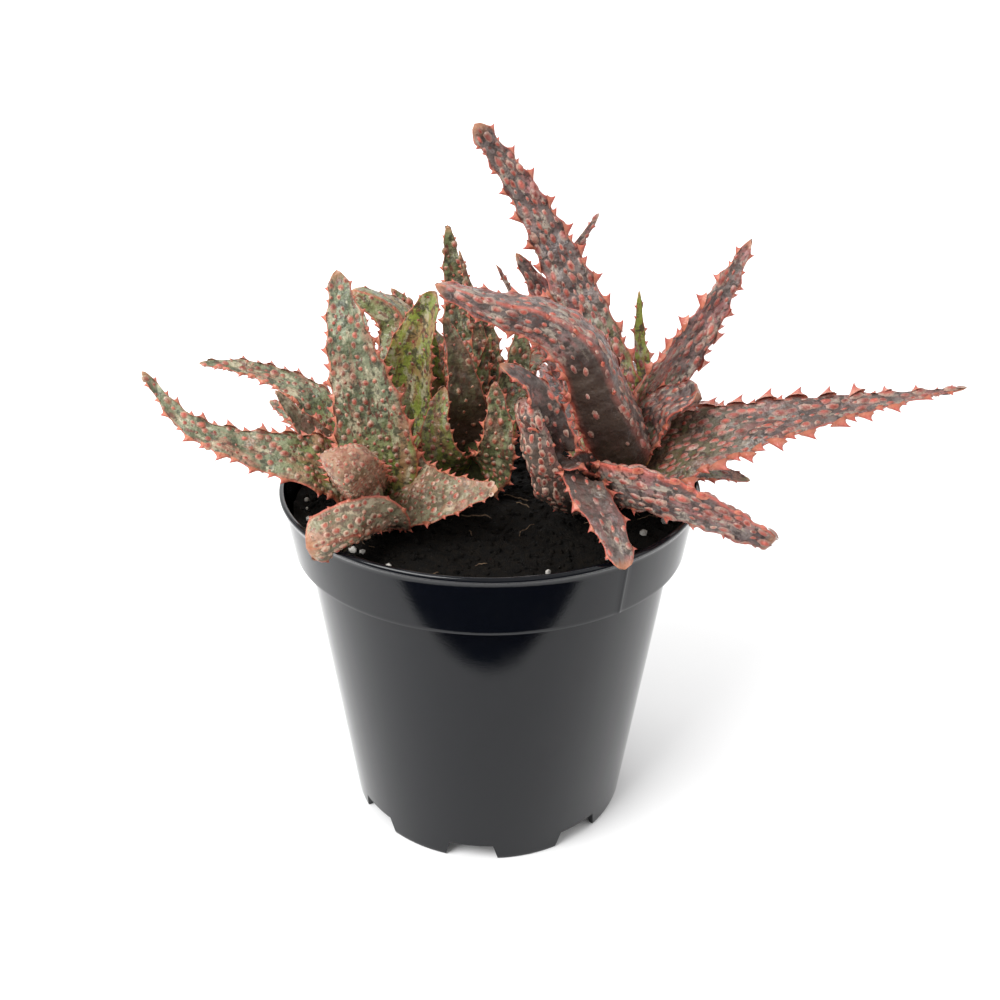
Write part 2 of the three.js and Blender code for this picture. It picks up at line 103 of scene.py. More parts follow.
LEFT_LEAVES = (
    Leaf("inner", 95, ((-30, 1, 112), (-32, 3, 124)), 9, 3.5, (0, -1, 0.2)),
    Leaf(
        "upright", 92, ((-27, -13, 101), (-28, -14, 113), (-32, -12, 130), (-35, -5, 145)),
        24, 5, (0.1, -1, 0.4), slope=0.75, channel=0.25, teeth=1.4,
    ),
    Leaf(
        "channelled", 92, ((-22, 4, 109), (-19, 2, 124), (-13, -4, 140)),
        20, 4.5, (-0.3, -1, 0.3), slope=0.6, channel=0.6, teeth=1, tone=Tone.GREEN,
    ),
    Leaf(
        "incurved", 93, ((-22, 12, 113), (-24, 17, 127), (-35, 15, 135)),
        24, 5, (-0.2, 0.7, -0.8), slope=0.6, tone=Tone.SMOOTH,
    ),
    Leaf(
        "hooked", 91, ((-31, -14, 97), (-30, -28, 106), (-30, -37, 112), (-30.5, -41, 115.5)),
        13.5, 10, (0, 0.4, 1), slope=0.35, channel=0, blunt=0.7, teeth=1.4, tone=Tone.KNOB,
    ),
    Leaf(
        "long", 91, ((-44, -14, 102), (-59, -17, 107), (-70, -16, 112), (-80, -12, 123)),
        21, 6, (0.1, -0.7, 0.8), slope=1.3, channel=0.2, teeth=1.5,
    ),
    Leaf(
        "rear_long", 93, ((-46, 6, 111), (-60, 8, 117), (-72, 6, 119)),
        14, 4, (0, -0.5, 0.9), teeth=1.4,
    ),
    Leaf(
        "purple", 92, ((-45, -3, 106), (-52, -2, 115)),
        12, 3.5, (0, -0.6, 0.8), teeth=1.4, tone=Tone.DARK,
    ),
    Leaf(
        "drooping", 90, ((-24, -23, 95), (-31, -36, 96), (-39, -44, 94.5)),
        19, 5, (0.4, 0.9, 0.1), slope=0.45, blunt=0.35, teeth=1, tone=Tone.KNOBBLY,
    ),
    Leaf(
        "short", 89, ((-14, -22, 96), (2, -32, 103)),
        31, 4, (-0.2, -0.7, 0.8), slope=1, channel=0.15, tone=Tone.KNOBBLY,
    ),
    Leaf("back_high", 92, ((-33, 15, 113), (-34, 27, 127)), 16, 4.5, (0, -1, 0.6)),
    Leaf("back_left", 90, ((-46, 14, 98), (-60, 26, 102)), 18, 5, (0, -0.3, 1)),
    Leaf("back", 91, ((-33, 20, 103), (-36, 42, 108)), 19, 5, (0, -0.4, 1)),
    Leaf("back_right", 89, ((-20, 18, 98), (-12, 38, 103)), 17, 5, (0, -0.4, 1)),
)

MIDDLE_LEAVES = (
    Leaf("inner", 97, ((-3, 8, 112), (0, 9, 126)), 8, 3, (0, -1, 0.2), tone=Tone.SMOOTH),
    Leaf(
        "dark", 93, ((-6, 0, 112), (-8, -1, 124), (-11, -1, 133)),
        15, 4, (0.2, -1, 0.3), slope=0.8, teeth=0.8, tone=Tone.DARK,
    ),
    Leaf("green", 91, ((-13, 5, 109), (-14, 6, 127)), 12, 3, (0, -1, 0.2), tone=Tone.GREEN),
    Leaf("warty", 88, ((1, -8, 99), (2, -10, 109), (1, -9, 120)), 15, 4, (-0.2, -1, 0.3), slope=0.7),
    Leaf(
        "low", 88, ((-11, -5, 97), (-13, -6, 107), (-11, -4, 117)),
        15, 4, (-0.1, -1, 0.3), slope=0.7, teeth=1, tone=Tone.MOSSY,
    ),
    Leaf("rear_right", 93, ((6, 12, 113), (8, 14, 131)), 15, 3.5, (0, -1, 0.2)),
    Leaf("rear", 94, ((0, 16, 116), (-2, 18, 132)), 12, 3.5, (0, -1, 0.2)),
    Leaf("tall", 93, ((-8, 20, 124), (-11, 22, 150)), 15, 4.5, (0, -1, 0.3), slope=0.8),
    Leaf(
        "back_left", 92, ((-16, 22, 120), (-26, 26, 133)),
        15, 4, (0.2, -0.8, 0.6), slope=0.8, teeth=1.5,
    ),
    Leaf("slender", 93, ((-3, 16, 122), (-8, 17, 145)), 7, 3, (0, -1, 0.3)),
    Leaf("back_right", 91, ((7, 22, 110), (17, 37, 117)), 16, 4.5, (0, -0.7, 0.8)),
    Leaf("back", 90, ((-3, 28, 104), (-4, 46, 110)), 18, 5, (0, -0.4, 1)),
)

RIGHT_LEAVES = (
    Leaf(
        "arched", 96,
        ((31, -6, 105), (26, -11, 116), (20, -15, 130), (11, -17, 137), (1, -18, 140), (-12, -18, 145)),
        21, 8, (-0.4, 0.75, -0.45), turn=(0, 0.8, -0.55), slope=0.7, channel=0.4, teeth=1.5, tone=Tone.HALF,
    ),
    Leaf(
        "tall", 97, ((28, 8, 118), (18, 13, 141), (7, 14, 160), (-4, 10, 175)),
        18, 6, (-0.2, -1, 0.4), slope=1, channel=0.1, blunt=0.18, teeth=2,
    ),
    Leaf(
        "ridged", 98, ((41, -5, 112), (48, -12, 119)),
        15, 5, (-0.3, -0.6, 0.9), slope=0.5, blunt=0.25, teeth=1.4,
    ),
    Leaf(
        "upright", 96, ((42, 2, 115), (52, 5, 131), (61, 7, 150)),
        18, 6, (0.64, -0.73, -0.25), turn=(-0.1, -1, 0.2), channel=0.5, teeth=2,
    ),
    Leaf(
        "long", 94, ((54, -9, 107), (80, -10, 114), (112, -8, 119)),
        26, 8, (-0.2, -0.6, 0.9), slope=1.4, channel=0.25, blunt=0.03, teeth=2.3, tone=Tone.DUSKY,
    ),
    Leaf("inner", 96, ((25, 4, 114), (17, 7, 129)), 16, 4, (-0.2, -1, 0.2), tone=Tone.DARK),
    Leaf("green", 95, ((40, 11, 108), (38, 18, 122), (37, 18, 135)), 8, 3, (0, -1, 0.2), tone=Tone.GREEN),
    Leaf(
        "front_left", 93, ((18, -21, 105), (13, -28, 118), (9, -31, 127), (2, -32, 132)),
        14, 4.5, (-0.5, -0.6, 0.7), turn=(-0.2, -0.5, 1), slope=0.6, teeth=1.6, tone=Tone.DARK,
    ),
    Leaf(
        "front_low", 92, ((33, -24, 103), (46, -32, 101), (63, -38, 94)),
        19, 9, (0.2, 0.7, 1), slope=0.5, blunt=0.15, teeth=1.6,
    ),
    Leaf(
        "knobbly", 88, ((17, -16, 95), (11, -25, 110), (8, -29, 123)),
        15, 5, (0.6, 0.6, 0.5), slope=0.5, blunt=0.3, teeth=1, tone=Tone.STUDDED,
    ),
    Leaf(
        "hanging", 90, ((21, -26, 103), (26, -40, 98), (29, -48, 92)),
        13, 4.5, (0.2, -0.8, 0.6), slope=0.6, blunt=0.25, teeth=1.4, tone=Tone.DARK,
    ),
    Leaf("under", 90, ((52, 0, 94), (66, 0, 91)), 15, 3.5, (0, -0.5, 1), tone=Tone.SMOOTH),
    Leaf("behind", 95, ((24, 22, 131), (21, 27, 141), (27, 28, 152)), 10, 4, (0.2, -1, 0.2)),
    Leaf("grey", 94, ((16, 22, 128), (6, 23, 143)), 17, 4.5, (0, -1, 0.4), slope=0.8),
    Leaf("thin", 93, ((10, 26, 124), (1, 28, 139)), 7, 3, (0, -1, 0.4)),
    Leaf("back_high", 94, ((43, 14, 108), (50, 30, 114)), 17, 4.5, (0, -0.7, 0.8)),
    Leaf("back_right", 91, ((50, 20, 99), (64, 38, 98)), 19, 5, (0, -0.4, 1)),
    Leaf("back", 91, ((38, 26, 103), (42, 50, 106)), 20, 5, (0, -0.4, 1)),
    Leaf("back_left", 90, ((20, 24, 101), (14, 48, 106)), 19, 5, (0, -0.4, 1)),
)


@dataclass(frozen=True)
class ToneValues:
    """What a tone does to a leaf.

    Its shade, green, blush and cream are shares from 0 to 1. It has so many warts to a hundred square
    millimetres, of a size, and none below its bare share of the leaf's length. With one_flank set, only
    one half of the leaf's back is shaded. With plain_edges set, margins and keel have no coral line.
    """

    shade: float = 0.0
    green: float = 0.0
    blush: float = 0.0
    cream: float = 0.35
    warts: float = 21.0
    wart_size: float = 1.0
    bare: float = 0.12
    one_flank: bool = False
    plain_edges: bool = False


# A tone's shade is the share of painted shade, in the skin's shadow colour, laid over its leaves.
TONES = {
    Tone.PLAIN: ToneValues(warts=25, wart_size=1.1),
    Tone.DUSKY: ToneValues(shade=0.45, warts=24, wart_size=1.1),
    Tone.STUDDED: ToneValues(shade=1.0, cream=0.9, warts=34, plain_edges=True),
    Tone.DARK: ToneValues(shade=0.97, cream=0.3, warts=12, wart_size=0.85),
    Tone.GREEN: ToneValues(green=0.85, cream=0.3, warts=8, wart_size=0.8),
    Tone.KNOBBLY: ToneValues(cream=0.9, warts=34, blush=0.12),
    Tone.SMOOTH: ToneValues(shade=0.35, green=0.3, cream=0.3, warts=9, wart_size=0.8),
    Tone.MOSSY: ToneValues(shade=0.25, green=0.55, cream=0.3, warts=20, wart_size=0.9),
    Tone.KNOB: ToneValues(shade=0.35, blush=0.45, warts=75, wart_size=0.8, plain_edges=True),
    Tone.HALF: ToneValues(shade=0.95, warts=19, one_flank=True),
}


# Meshes


@dataclass
class Shell:
    """Vertices, faces and skin marks that become one mesh object.

    Each vertex has two marks of three shares: mark holds coral, cream and green, and place holds shade,
    yellow tip and ember. Its grain is its place on the unrolled skin, shortened along the leaf, so that
    patterns laid out by it are drawn out along the leaf.
    """

    points: list[Array] = field(default_factory=list)
    faces: list[Array] = field(default_factory=list)
    marks: list[Array] = field(default_factory=list)
    places: list[Array] = field(default_factory=list)
    grains: list[Array] = field(default_factory=list)
    slots: list[Array] = field(default_factory=list)
    count: int = 0

    def add(
        self,
        points: Array,
        faces: Array,
        mark: Array | Spot = (0, 0, 0),
        place: Array | Spot = (0, 0, 0),
        grain: Array | None = None,
        slot: int = 0,
    ) -> None:
        """Adds a piece of surface.

        Args:
            points: its vertices in millimetres, one row each.
            faces: its triangles or quads as rows of its own vertex numbers.
            mark: coral, cream and green of each vertex or of all.
            place: shade, yellow tip and ember of each vertex or of all.
            grain: place on the unrolled skin of each vertex, in millimetres, or its own place if not given.
            slot: number of the material slot that it takes.
        """
        total = len(points)
        self.grains.append(points if grain is None else grain)
        self.points.append(points)
        self.faces.append(faces + self.count)
        self.marks.append(np.broadcast_to(np.asarray(mark, float), (total, 3)))
        self.places.append(np.broadcast_to(np.asarray(place, float), (total, 3)))
        self.slots.append(np.full(len(faces), slot, np.int32))
        self.count += total

    def build(self, name: str, materials: list[bpy.types.Material]) -> Object:
        """Makes the smoothly shaded mesh object and puts it in the scene.

        Args:
            name: name of the object and its mesh.
            materials: what its material slots hold.

        Returns:
            The new object.
        """
        mesh = bpy.data.meshes.new(name)
        rows = [row for faces in self.faces for row in faces.tolist()]
        mesh.from_pydata((np.concatenate(self.points) * MM).tolist(), [], rows)
        for title, values in (("mark", self.marks), ("place", self.places)):
            layer = mesh.attributes.new(title, "FLOAT_COLOR", "POINT")
            colours = np.ones((self.count, 4))
            colours[:, :3] = np.clip(np.concatenate(values), 0, 1)
            layer.data.foreach_set("color", colours.ravel())
        layer = mesh.attributes.new("grain", "FLOAT_VECTOR", "POINT")
        layer.data.foreach_set("vector", (np.concatenate(self.grains) * MM).ravel())
        for material in materials:
            mesh.materials.append(material)
        mesh.polygons.foreach_set("material_index", np.concatenate(self.slots))
        mesh.polygons.foreach_set("use_smooth", np.ones(len(mesh.polygons), bool))
        mesh.update()
        made = bpy.data.objects.new(name, mesh)
        bpy.context.scene.collection.objects.link(made)
        return made


def grid_faces(rows: int, columns: int, closed: bool = True) -> Array:
    """Quads over a grid of vertices numbered row by row.

    Args:
        rows: number of rows.
        columns: number of vertices in a row.
        closed: whether the last vertex of a row joins the first.

    Returns:
        One row of four vertex numbers for each quad.
    """
    row, column = np.indices((rows - 1, columns if closed else columns - 1))
    following = (column + 1) % columns
    here, above = row * columns, (row + 1) * columns
    corners = (here + column, here + following, above + following, above + column)
    return np.stack(corners, -1).reshape(-1, 4)


def full_turn(steps: int) -> Array:
    """Headings of a whole turn in equal steps, in radians."""
    return np.linspace(0, 2 * math.pi, steps, endpoint=False)


def unit(vectors: Array) -> Array:
    """Vectors scaled to a length of one."""
    return vectors / np.maximum(np.linalg.norm(vectors, axis=-1, keepdims=True), 1e-9)


def lengths(points: Array) -> Array:
    """Lengths of the steps between points that follow each other."""
    return np.linalg.norm(np.diff(points, axis=0), axis=1)


def smooth_path(points: Array, steps: int) -> Array:
    """A centripetal curve through points, cut into equal steps.

    Args:
        points: the points it passes, one row each.
        steps: number of steps.

    Returns:
        The steps + 1 points along it.
    """
    ends = np.vstack([2 * points[0] - points[1], points, 2 * points[-1] - points[-2]])
    share = np.linspace(0, 1, CURVE_STEPS, endpoint=False)[:, None]
    pieces = []
    for before, start, end, after in zip(ends, ends[1:], ends[2:], ends[3:]):
        pairs = ((before, start), (start, end), (end, after))
        first, middle, last = (max(np.linalg.norm(b - a) ** 0.5, SHORTEST) for a, b in pairs)
        leave = (start - before) / first - (end - before) / (first + middle) + (end - start) / middle
        arrive = (end - start) / middle - (after - start) / (middle + last) + (after - end) / last
        leave, arrive = leave * middle, arrive * middle
        bend = 3 * (end - start) - 2 * leave - arrive
        twist = 2 * (start - end) + leave + arrive
        pieces.append(start + leave * share + bend * share**2 + twist * share**3)
    line = np.vstack([*pieces, points[-1:]])
    walked = np.concatenate([[0], np.cumsum(lengths(line))])
    wanted = np.linspace(0, walked[-1], steps + 1)
    return np.stack([np.interp(wanted, walked, line[:, axis]) for axis in range(3)], -1)


# Materials


@dataclass(frozen=True)
class Pattern:
    """A noise pattern of so many lumps a metre.

    Where the noise is at the low one of its ends or under it, the pattern has the first value of to,
    and at the high end or over it the second. If drawn, it is drawn out along the leaf.
    """

    scale: float
    detail: float = 4.0
    rough: float = 0.55
    ends: Range = (0, 1)
    to: Range = (0, 1)
    drawn: bool = False


@dataclass(frozen=True)
class Relief:
    """Bumps of so many lumps a metre, with a depth in metres."""

    scale: float
    detail: float
    strength: float
    depth: float


@dataclass
class Recipe:
    """A material under construction: its node tree with its Principled shader."""

    name: str

    def __post_init__(self) -> None:
        """Makes the empty material."""
        self.material = bpy.data.materials.new(self.name)
        self.material.use_nodes = True
        self.tree = self.material.node_tree
        self.shader = self.tree.nodes["Principled BSDF"]

    def node(self, kind: str, **values: object) -> bpy.types.Node:
        """Adds a node and sets its sockets by name."""
        made = self.tree.nodes.new(kind)
        for key, value in values.items():
            made.inputs[key].default_value = value
        return made

    def link(self, start: Socket, end: Socket) -> None:
        """Joins two sockets."""
        self.tree.links.new(start, end)

    def stored(self, title: str, kind: str) -> Socket:
        """What the mesh holds for each vertex under a title."""
        source = self.tree.nodes.new("ShaderNodeAttribute")
        source.attribute_name = title
        return source.outputs[kind]

    def noise(self, scale: float, detail: float = 4.0, rough: float = 0.55, drawn: bool = False) -> Socket:
        """A noise of so many lumps a metre, from 0 to 1, in space or drawn out along the leaf."""
        made = self.node("ShaderNodeTexNoise", Scale=scale, Detail=detail, Roughness=rough)
        free = self.node("ShaderNodeTexCoord").outputs["Object"]
        self.link(self.stored("grain", "Vector") if drawn else free, made.inputs["Vector"])
        return made.outputs["Fac"]

    def spread(self, value: Socket, ends: Range, to: Range) -> Socket:
        """A value stretched from the range of its ends onto the range to, and held inside it."""
        made = self.node("ShaderNodeMapRange")
        for socket, number in zip(made.inputs[1:5], (*ends, *to)):
            socket.default_value = number
        self.link(value, made.inputs["Value"])
        return made.outputs["Result"]

    def pattern(self, pattern: Pattern) -> Socket:
        """The value of a pattern."""
        value = self.noise(pattern.scale, pattern.detail, pattern.rough, pattern.drawn)
        return self.spread(value, pattern.ends, pattern.to)

    def mix(self, share: Socket, first: Socket | Spot, second: Socket | Spot) -> Socket:
        """Mixes two colours.

        Args:
            share: how much of the second shows, from 0 to 1.
            first: a colour, or the socket that gives one.
            second: a colour, or the socket that gives one.

        Returns:
            The socket of the mixed colour.
        """
        made = self.tree.nodes.new("ShaderNodeMix")
        made.data_type = "RGBA"
        self.link(share, made.inputs[0])
        for socket, colour in ((made.inputs[6], first), (made.inputs[7], second)):
            if isinstance(colour, tuple):
                socket.default_value = (*colour, 1)
            else:
                self.link(colour, socket)
        return made.outputs[2]

    def marks(self, title: str) -> list[Socket]:
        """The three shares of a vertex mark."""
        parts = self.tree.nodes.new("ShaderNodeSeparateColor")
        self.link(self.stored(title, "Color"), parts.inputs["Color"])
        return list(parts.outputs)

    def bump(self, relief: Relief) -> None:
        """Adds a relief over any that the shader has."""
        made = self.node("ShaderNodeBump", Strength=relief.strength, Distance=relief.depth)
        self.link(self.noise(relief.scale, relief.detail), made.inputs["Height"])
        normal = self.shader.inputs["Normal"]
        if normal.is_linked:
            self.link(normal.links[0].from_socket, made.inputs["Normal"])
        self.link(made.outputs["Normal"], normal)

    def colour(self, socket: Socket) -> None:
        """Gives the shader its colour."""
        self.link(socket, self.shader.inputs["Base Color"])

    def roughness(self, socket: Socket) -> None:
        """Gives the shader its roughness."""
        self.link(socket, self.shader.inputs["Roughness"])


@dataclass(frozen=True)
class LeafSkin:
    """Thick waxy skin of a rosette's leaves: mottled flesh, coral teeth and warts with pale rings.

    The flesh has patches of mottle, a flush of colour, pale blotches and dark flecks. Over it lie
    dark specks in the ember colour, which are painted shade for the small shadows among the warts,
    and painted shade in the shadow colour where the place mark's shade share is set.
    """

    name: str
    flesh: Spot
    mottle: Spot
    flush: Spot
    shadow: Spot
    pale: Spot
    coral: Spot = (0.52, 0.105, 0.070)
    cream: Spot = (0.62, 0.48, 0.36)
    green: Spot = (0.23, 0.29, 0.035)
    yellow: Spot = (0.58, 0.25, 0.12)
    ember: Spot = (0.12, 0.018, 0.012)
    fleck_share: float = 0.33
    patches: Pattern = Pattern(260, 5, 0.6, (0.43, 0.57))
    flushes: Pattern = Pattern(230, 4, 0.65, (0.50, 0.62), (0, 0.6), drawn=True)
    blotches: Pattern = Pattern(430, 4, 0.62, (0.54, 0.62), (0, 0.8), drawn=True)
    flecks: Pattern = Pattern(620, 4, 0.6, (0.51, 0.60), (0, 0.85))
    # Dark specks of painted shade: the small shadows among the warts, scattered at random.
    shadow_specks: Pattern = Pattern(950, 3, 0.6, (0.57, 0.63), (0, 0.75), drawn=True)
    wax: Pattern = Pattern(420, ends=(0.3, 0.7), to=(0.30, 0.52))
    pores: Relief = Relief(1500, 3, 0.35, 0.0003)
    dimples: Relief = Relief(480, 3, 0.7, 0.0011)

    def material(self) -> bpy.types.Material:
        """Builds the material.

        Returns:
            The finished material.
        """
        recipe = Recipe(self.name)
        coral, cream, green = recipe.marks("mark")
        shade, yellow, ember = recipe.marks("place")
        skin = recipe.mix(recipe.pattern(self.patches), self.flesh, self.mottle)
        for share, colour in (
            (green, self.green),
            (recipe.pattern(self.flushes), self.flush),
            (recipe.pattern(self.blotches), self.pale),
            (recipe.pattern(self.flecks), tuple(self.fleck_share * part for part in self.mottle)),
            # Painted shade: dark specks for the small shadows among the warts.
            (recipe.pattern(self.shadow_specks), self.ember),
            # Painted shade in the shadow colour, by the place mark's shade share.
            (shade, self.shadow),
            (cream, self.cream),
            (coral, self.coral),
            (yellow, self.yellow),
            (ember, self.ember),
        ):
            skin = recipe.mix(share, skin, colour)
        recipe.colour(skin)
        recipe.roughness(recipe.pattern(self.wax))
        recipe.bump(self.pores)
        recipe.bump(self.dimples)
        recipe.shader.inputs["Subsurface Weight"].default_value = 0.06
        recipe.shader.inputs["Subsurface Radius"].default_value = (0.9, 0.6, 0.3)
        recipe.shader.inputs["Subsurface Scale"].default_value = 0.0012
        return recipe.material


@dataclass(frozen=True)
class BlackPlastic:
    """Glossy injection-moulded plastic, with a faint waviness and fine scuffs."""

    name: str = "black_plastic"
    colour: Spot = (0.0016, 0.0022, 0.0040)
    scuff: Spot = (0.006, 0.0062, 0.0075)
    scuffs: Pattern = Pattern(320, 6, 0.7, (0.62, 0.78), (0, 0.6))
    gloss: Pattern = Pattern(160, 5, ends=(0.35, 0.7), to=(0.06, 0.12))
    waviness: Relief = Relief(26, 2, 0.06, 0.0012)
    texture: Relief = Relief(2600, 2, 0.05, 0.0002)

    def material(self) -> bpy.types.Material:
        """Builds the material.

        Returns:
            The finished material.
        """
        recipe = Recipe(self.name)
        recipe.colour(recipe.mix(recipe.pattern(self.scuffs), self.colour, self.scuff))
        recipe.roughness(recipe.pattern(self.gloss))
        recipe.bump(self.waviness)
        recipe.bump(self.texture)
        recipe.shader.inputs["Specular IOR Level"].default_value = 0.34
        return recipe.material


@dataclass(frozen=True)
class Grit:
    """A rough crumbly stuff of two colours, such as peat, perlite or root fibre."""

    name: str
    colour: Spot
    other: Spot
    scale: float
    relief: float
    dull: Range = (0.8, 0.97)

    def material(self) -> bpy.types.Material:
        """Builds the material.

        Returns:
            The finished material.
        """
        recipe = Recipe(self.name)
        patches = recipe.pattern(Pattern(self.scale, 6, 0.65, (0.4, 0.65)))
        recipe.colour(recipe.mix(patches, self.colour, self.other))
        recipe.roughness(recipe.spread(patches, (0, 1), self.dull))
        recipe.bump(Relief(self.scale * 3, 5, 0.8, self.relief))
        recipe.shader.inputs["Specular IOR Level"].default_value = 0.12
        return recipe.material


@dataclass(frozen=True)
class Floor:
    """A plain pale floor."""

    name: str = "pale_floor"
    colour: Spot = (0.93, 0.93, 0.93)

    def material(self) -> bpy.types.Material:
        """Builds the material, with a trace of unevenness.

        Returns:
            The finished material.
        """
        recipe = Recipe(self.name)
        darker = tuple(0.985 * share for share in self.colour)
        recipe.colour(recipe.mix(recipe.noise(3.0), self.colour, darker))
        recipe.shader.inputs["Roughness"].default_value = 0.9
        return recipe.material


# Pot


@dataclass
class Pot:
    """The nursery pot: a tapered body, a stepped-out band, a beaded lip, a floor and notched feet."""

    height: float = 92.0
    top_radius: float = 52.5
    base_radius: float = 37.4
    wall: float = 1.3
    band_height: float = 15.7
    band_radius: float = 49.8
    body_radius: float = 46.8
    lip: float = 0.7
    floor_rise: float = 2.8
    boss_radius: float = 11.0
    notches: int = 8
    notch_height: float = 4.8
    notch_top: float = 17.0
    notch_foot: float = 30.0
    notch_first: float = -96.4
    notch_reach: float = 23.0
    sides: int = 256
    seam_heading: float = -54.0
    seam_width: float = 0.5
    seam_flat: float = 0.15
    seam_height: float = 0.18
    seam_up_lip: int = 2
    crisp: float = 38.0

    def foot_of_band(self) -> float:
        """Height of the band's lower edge."""
        return self.height - self.band_height

    def lean(self) -> float:
        """How much wider the body gets with each millimetre of height."""
        return (self.body_radius - self.base_radius) / self.foot_of_band()

    def body_rows(self) -> list[Range]:
        """Radius and height of each ring from the boss under the floor to the foot of the band."""
        foot, inner = self.foot_of_band(), self.base_radius - self.wall
        rises = (0.6, 1.2, foot / 3, foot * 2 / 3, foot - 1.1, foot - 0.5)
        return [
            (self.boss_radius - 0.4, 0),
            (self.boss_radius, 0.4),
            (self.boss_radius, self.floor_rise),
            (inner, self.floor_rise),
            (inner, 0.1),
            (inner + 0.1, 0),
            (self.base_radius - 0.35, 0),
            (self.base_radius - 0.08, 0.15),
            *[(self.base_radius + self.lean() * up, up) for up in rises],
            (self.body_radius + 0.3, foot - 0.05),
            (self.band_radius - 0.35, foot),
        ]

    def band_rows(self) -> list[Range]:
        """Radius and height of each ring up the band and over the lip."""
        foot, middle, level = self.foot_of_band(), self.top_radius - self.lip, self.height - self.lip
        flare = (middle - self.band_radius) / (self.band_height - 2 * self.lip)
        rises = (0.5, 1.1, self.band_height / 2, self.band_height - 2.9, self.band_height - 2.3)
        turns = np.radians(np.linspace(-60, 130, 9))
        return [
            (self.band_radius - 0.08, foot + 0.12),
            *[(self.band_radius + flare * up, foot + up) for up in rises],
            *[(middle + self.lip * math.cos(turn), level + self.lip * math.sin(turn)) for turn in turns],
        ]

    def inside_rows(self) -> list[Range]:
        """Radius and height of each ring down the inside to the floor."""
        foot, floor = self.foot_of_band(), self.floor_rise + self.wall
        corner = self.base_radius + self.lean() * floor - self.wall
        return [
            (self.top_radius - self.wall, self.height - 2.5 * self.lip),
            (self.band_radius - self.wall, foot + self.wall),
            (self.body_radius - self.wall, foot),
            (corner, floor + 0.6),
            (corner - 0.8, floor),
        ]

    def profile(self) -> Array:
        """The turned outline, up the outside and down the inside.

        Returns:
            A row for each ring: radius, height, and 1 where the moulding seam stands out or else 0.
        """
        body, band, inside = self.body_rows(), self.band_rows(), self.inside_rows()
        number = np.arange(len(body) + len(band) + len(inside))
        seamed = (number >= len(body)) & (number < len(body) + 6 + self.seam_up_lip)
        return np.column_stack([np.array([*body, *band, *inside], float), seamed])

    def headings(self) -> Array:
        """The headings of the turned outline, closer together at the moulding seam."""
        even = np.linspace(-180, 180, self.sides, endpoint=False)
        half = math.degrees(self.seam_width / self.top_radius)
        seam = self.seam_heading + half * np.array([-1.5, -0.7, 0, 0.7, 1.5])
        even = even[np.abs(even - self.seam_heading) > 2 * half]
        return np.radians(np.sort(np.concatenate([even, seam])))

    def wedge(self, heading: float) -> Object:
        """The solid that cuts one slot between two feet.

        Args:
            heading: middle of the slot, in degrees.

        Returns:
            The cutting object, which is removed after the cut.
        """
        shell = Shell()
        corners = []
        for radius, height, width in (
            (self.notch_reach, -self.notch_height, self.notch_foot),
            (self.top_radius, -self.notch_height, self.notch_foot),
            (self.top_radius, self.notch_height, self.notch_top),
            (self.notch_reach, self.notch_height, self.notch_top),
        ):
            for turn in np.radians((heading - width / 2, heading + width / 2)):
                corners.append((radius * math.cos(turn), radius * math.sin(turn), height))
        faces = [[0, 1, 3, 2], [2, 3, 5, 4], [4, 5, 7, 6], [6, 7, 1, 0], [0, 2, 4, 6], [1, 7, 5, 3]]
        shell.add(np.array(corners), np.array(faces))
        return shell.build("slot_cutter", [])

    def build(self) -> Object:
        """Builds the pot and dresses it.

        Returns:
            The pot's object.
        """
        profile, headings = self.profile(), self.headings()
        from_seam = np.abs(headings - math.radians(self.seam_heading)) * self.top_radius
        bulge = np.interp(from_seam, [self.seam_flat, self.seam_width], [1, 0])
        radius = profile[:, :1] + self.seam_height * bulge * profile[:, 2:]
        high = np.broadcast_to(profile[:, 1:2], radius.shape)
        points = np.stack([radius * np.cos(headings), radius * np.sin(headings), high], -1)
        rows, columns = radius.shape
        shell = Shell()
        shell.add(points.reshape(-1, 3), grid_faces(rows, columns))
        # The first and the last ring are each closed by one face over the points that they have.
        ring = np.arange(columns)
        shell.add(np.empty((0, 3)), np.stack([ring[::-1], (rows - 1) * columns + ring]) - shell.count)
        made = shell.build("pot_moulding", [BlackPlastic().material()])
        for slot in range(self.notches):
            self.cut(made, self.wedge(self.notch_first + 360 / self.notches * slot))
        self.sharpen(made)
        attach(made, "root")
        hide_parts("pot")
        return made

    def cut(self, made: Object, cutter: Object) -> None:
        """Cuts one object out of another and removes the cutter.

        Args:
            made: what is cut.
            cutter: what is taken away from it.
        """
        step = made.modifiers.new("slot", "BOOLEAN")
        step.operation = "DIFFERENCE"
        step.object = cutter
        step.solver = "EXACT"
        bpy.context.view_layer.update()
        graph = bpy.context.evaluated_depsgraph_get()
        cut = bpy.data.meshes.new_from_object(made.evaluated_get(graph))
        made.modifiers.clear()
        made.data = cut
        bpy.data.objects.remove(cutter)

    def sharpen(self, made: Object) -> None:
        """Keeps the pot's corners crisp in the shading."""
        made.data.polygons.foreach_set("use_smooth", np.ones(len(made.data.polygons), bool))
        made.data.set_sharp_from_angle(angle=math.radians(self.crisp))


# Soil


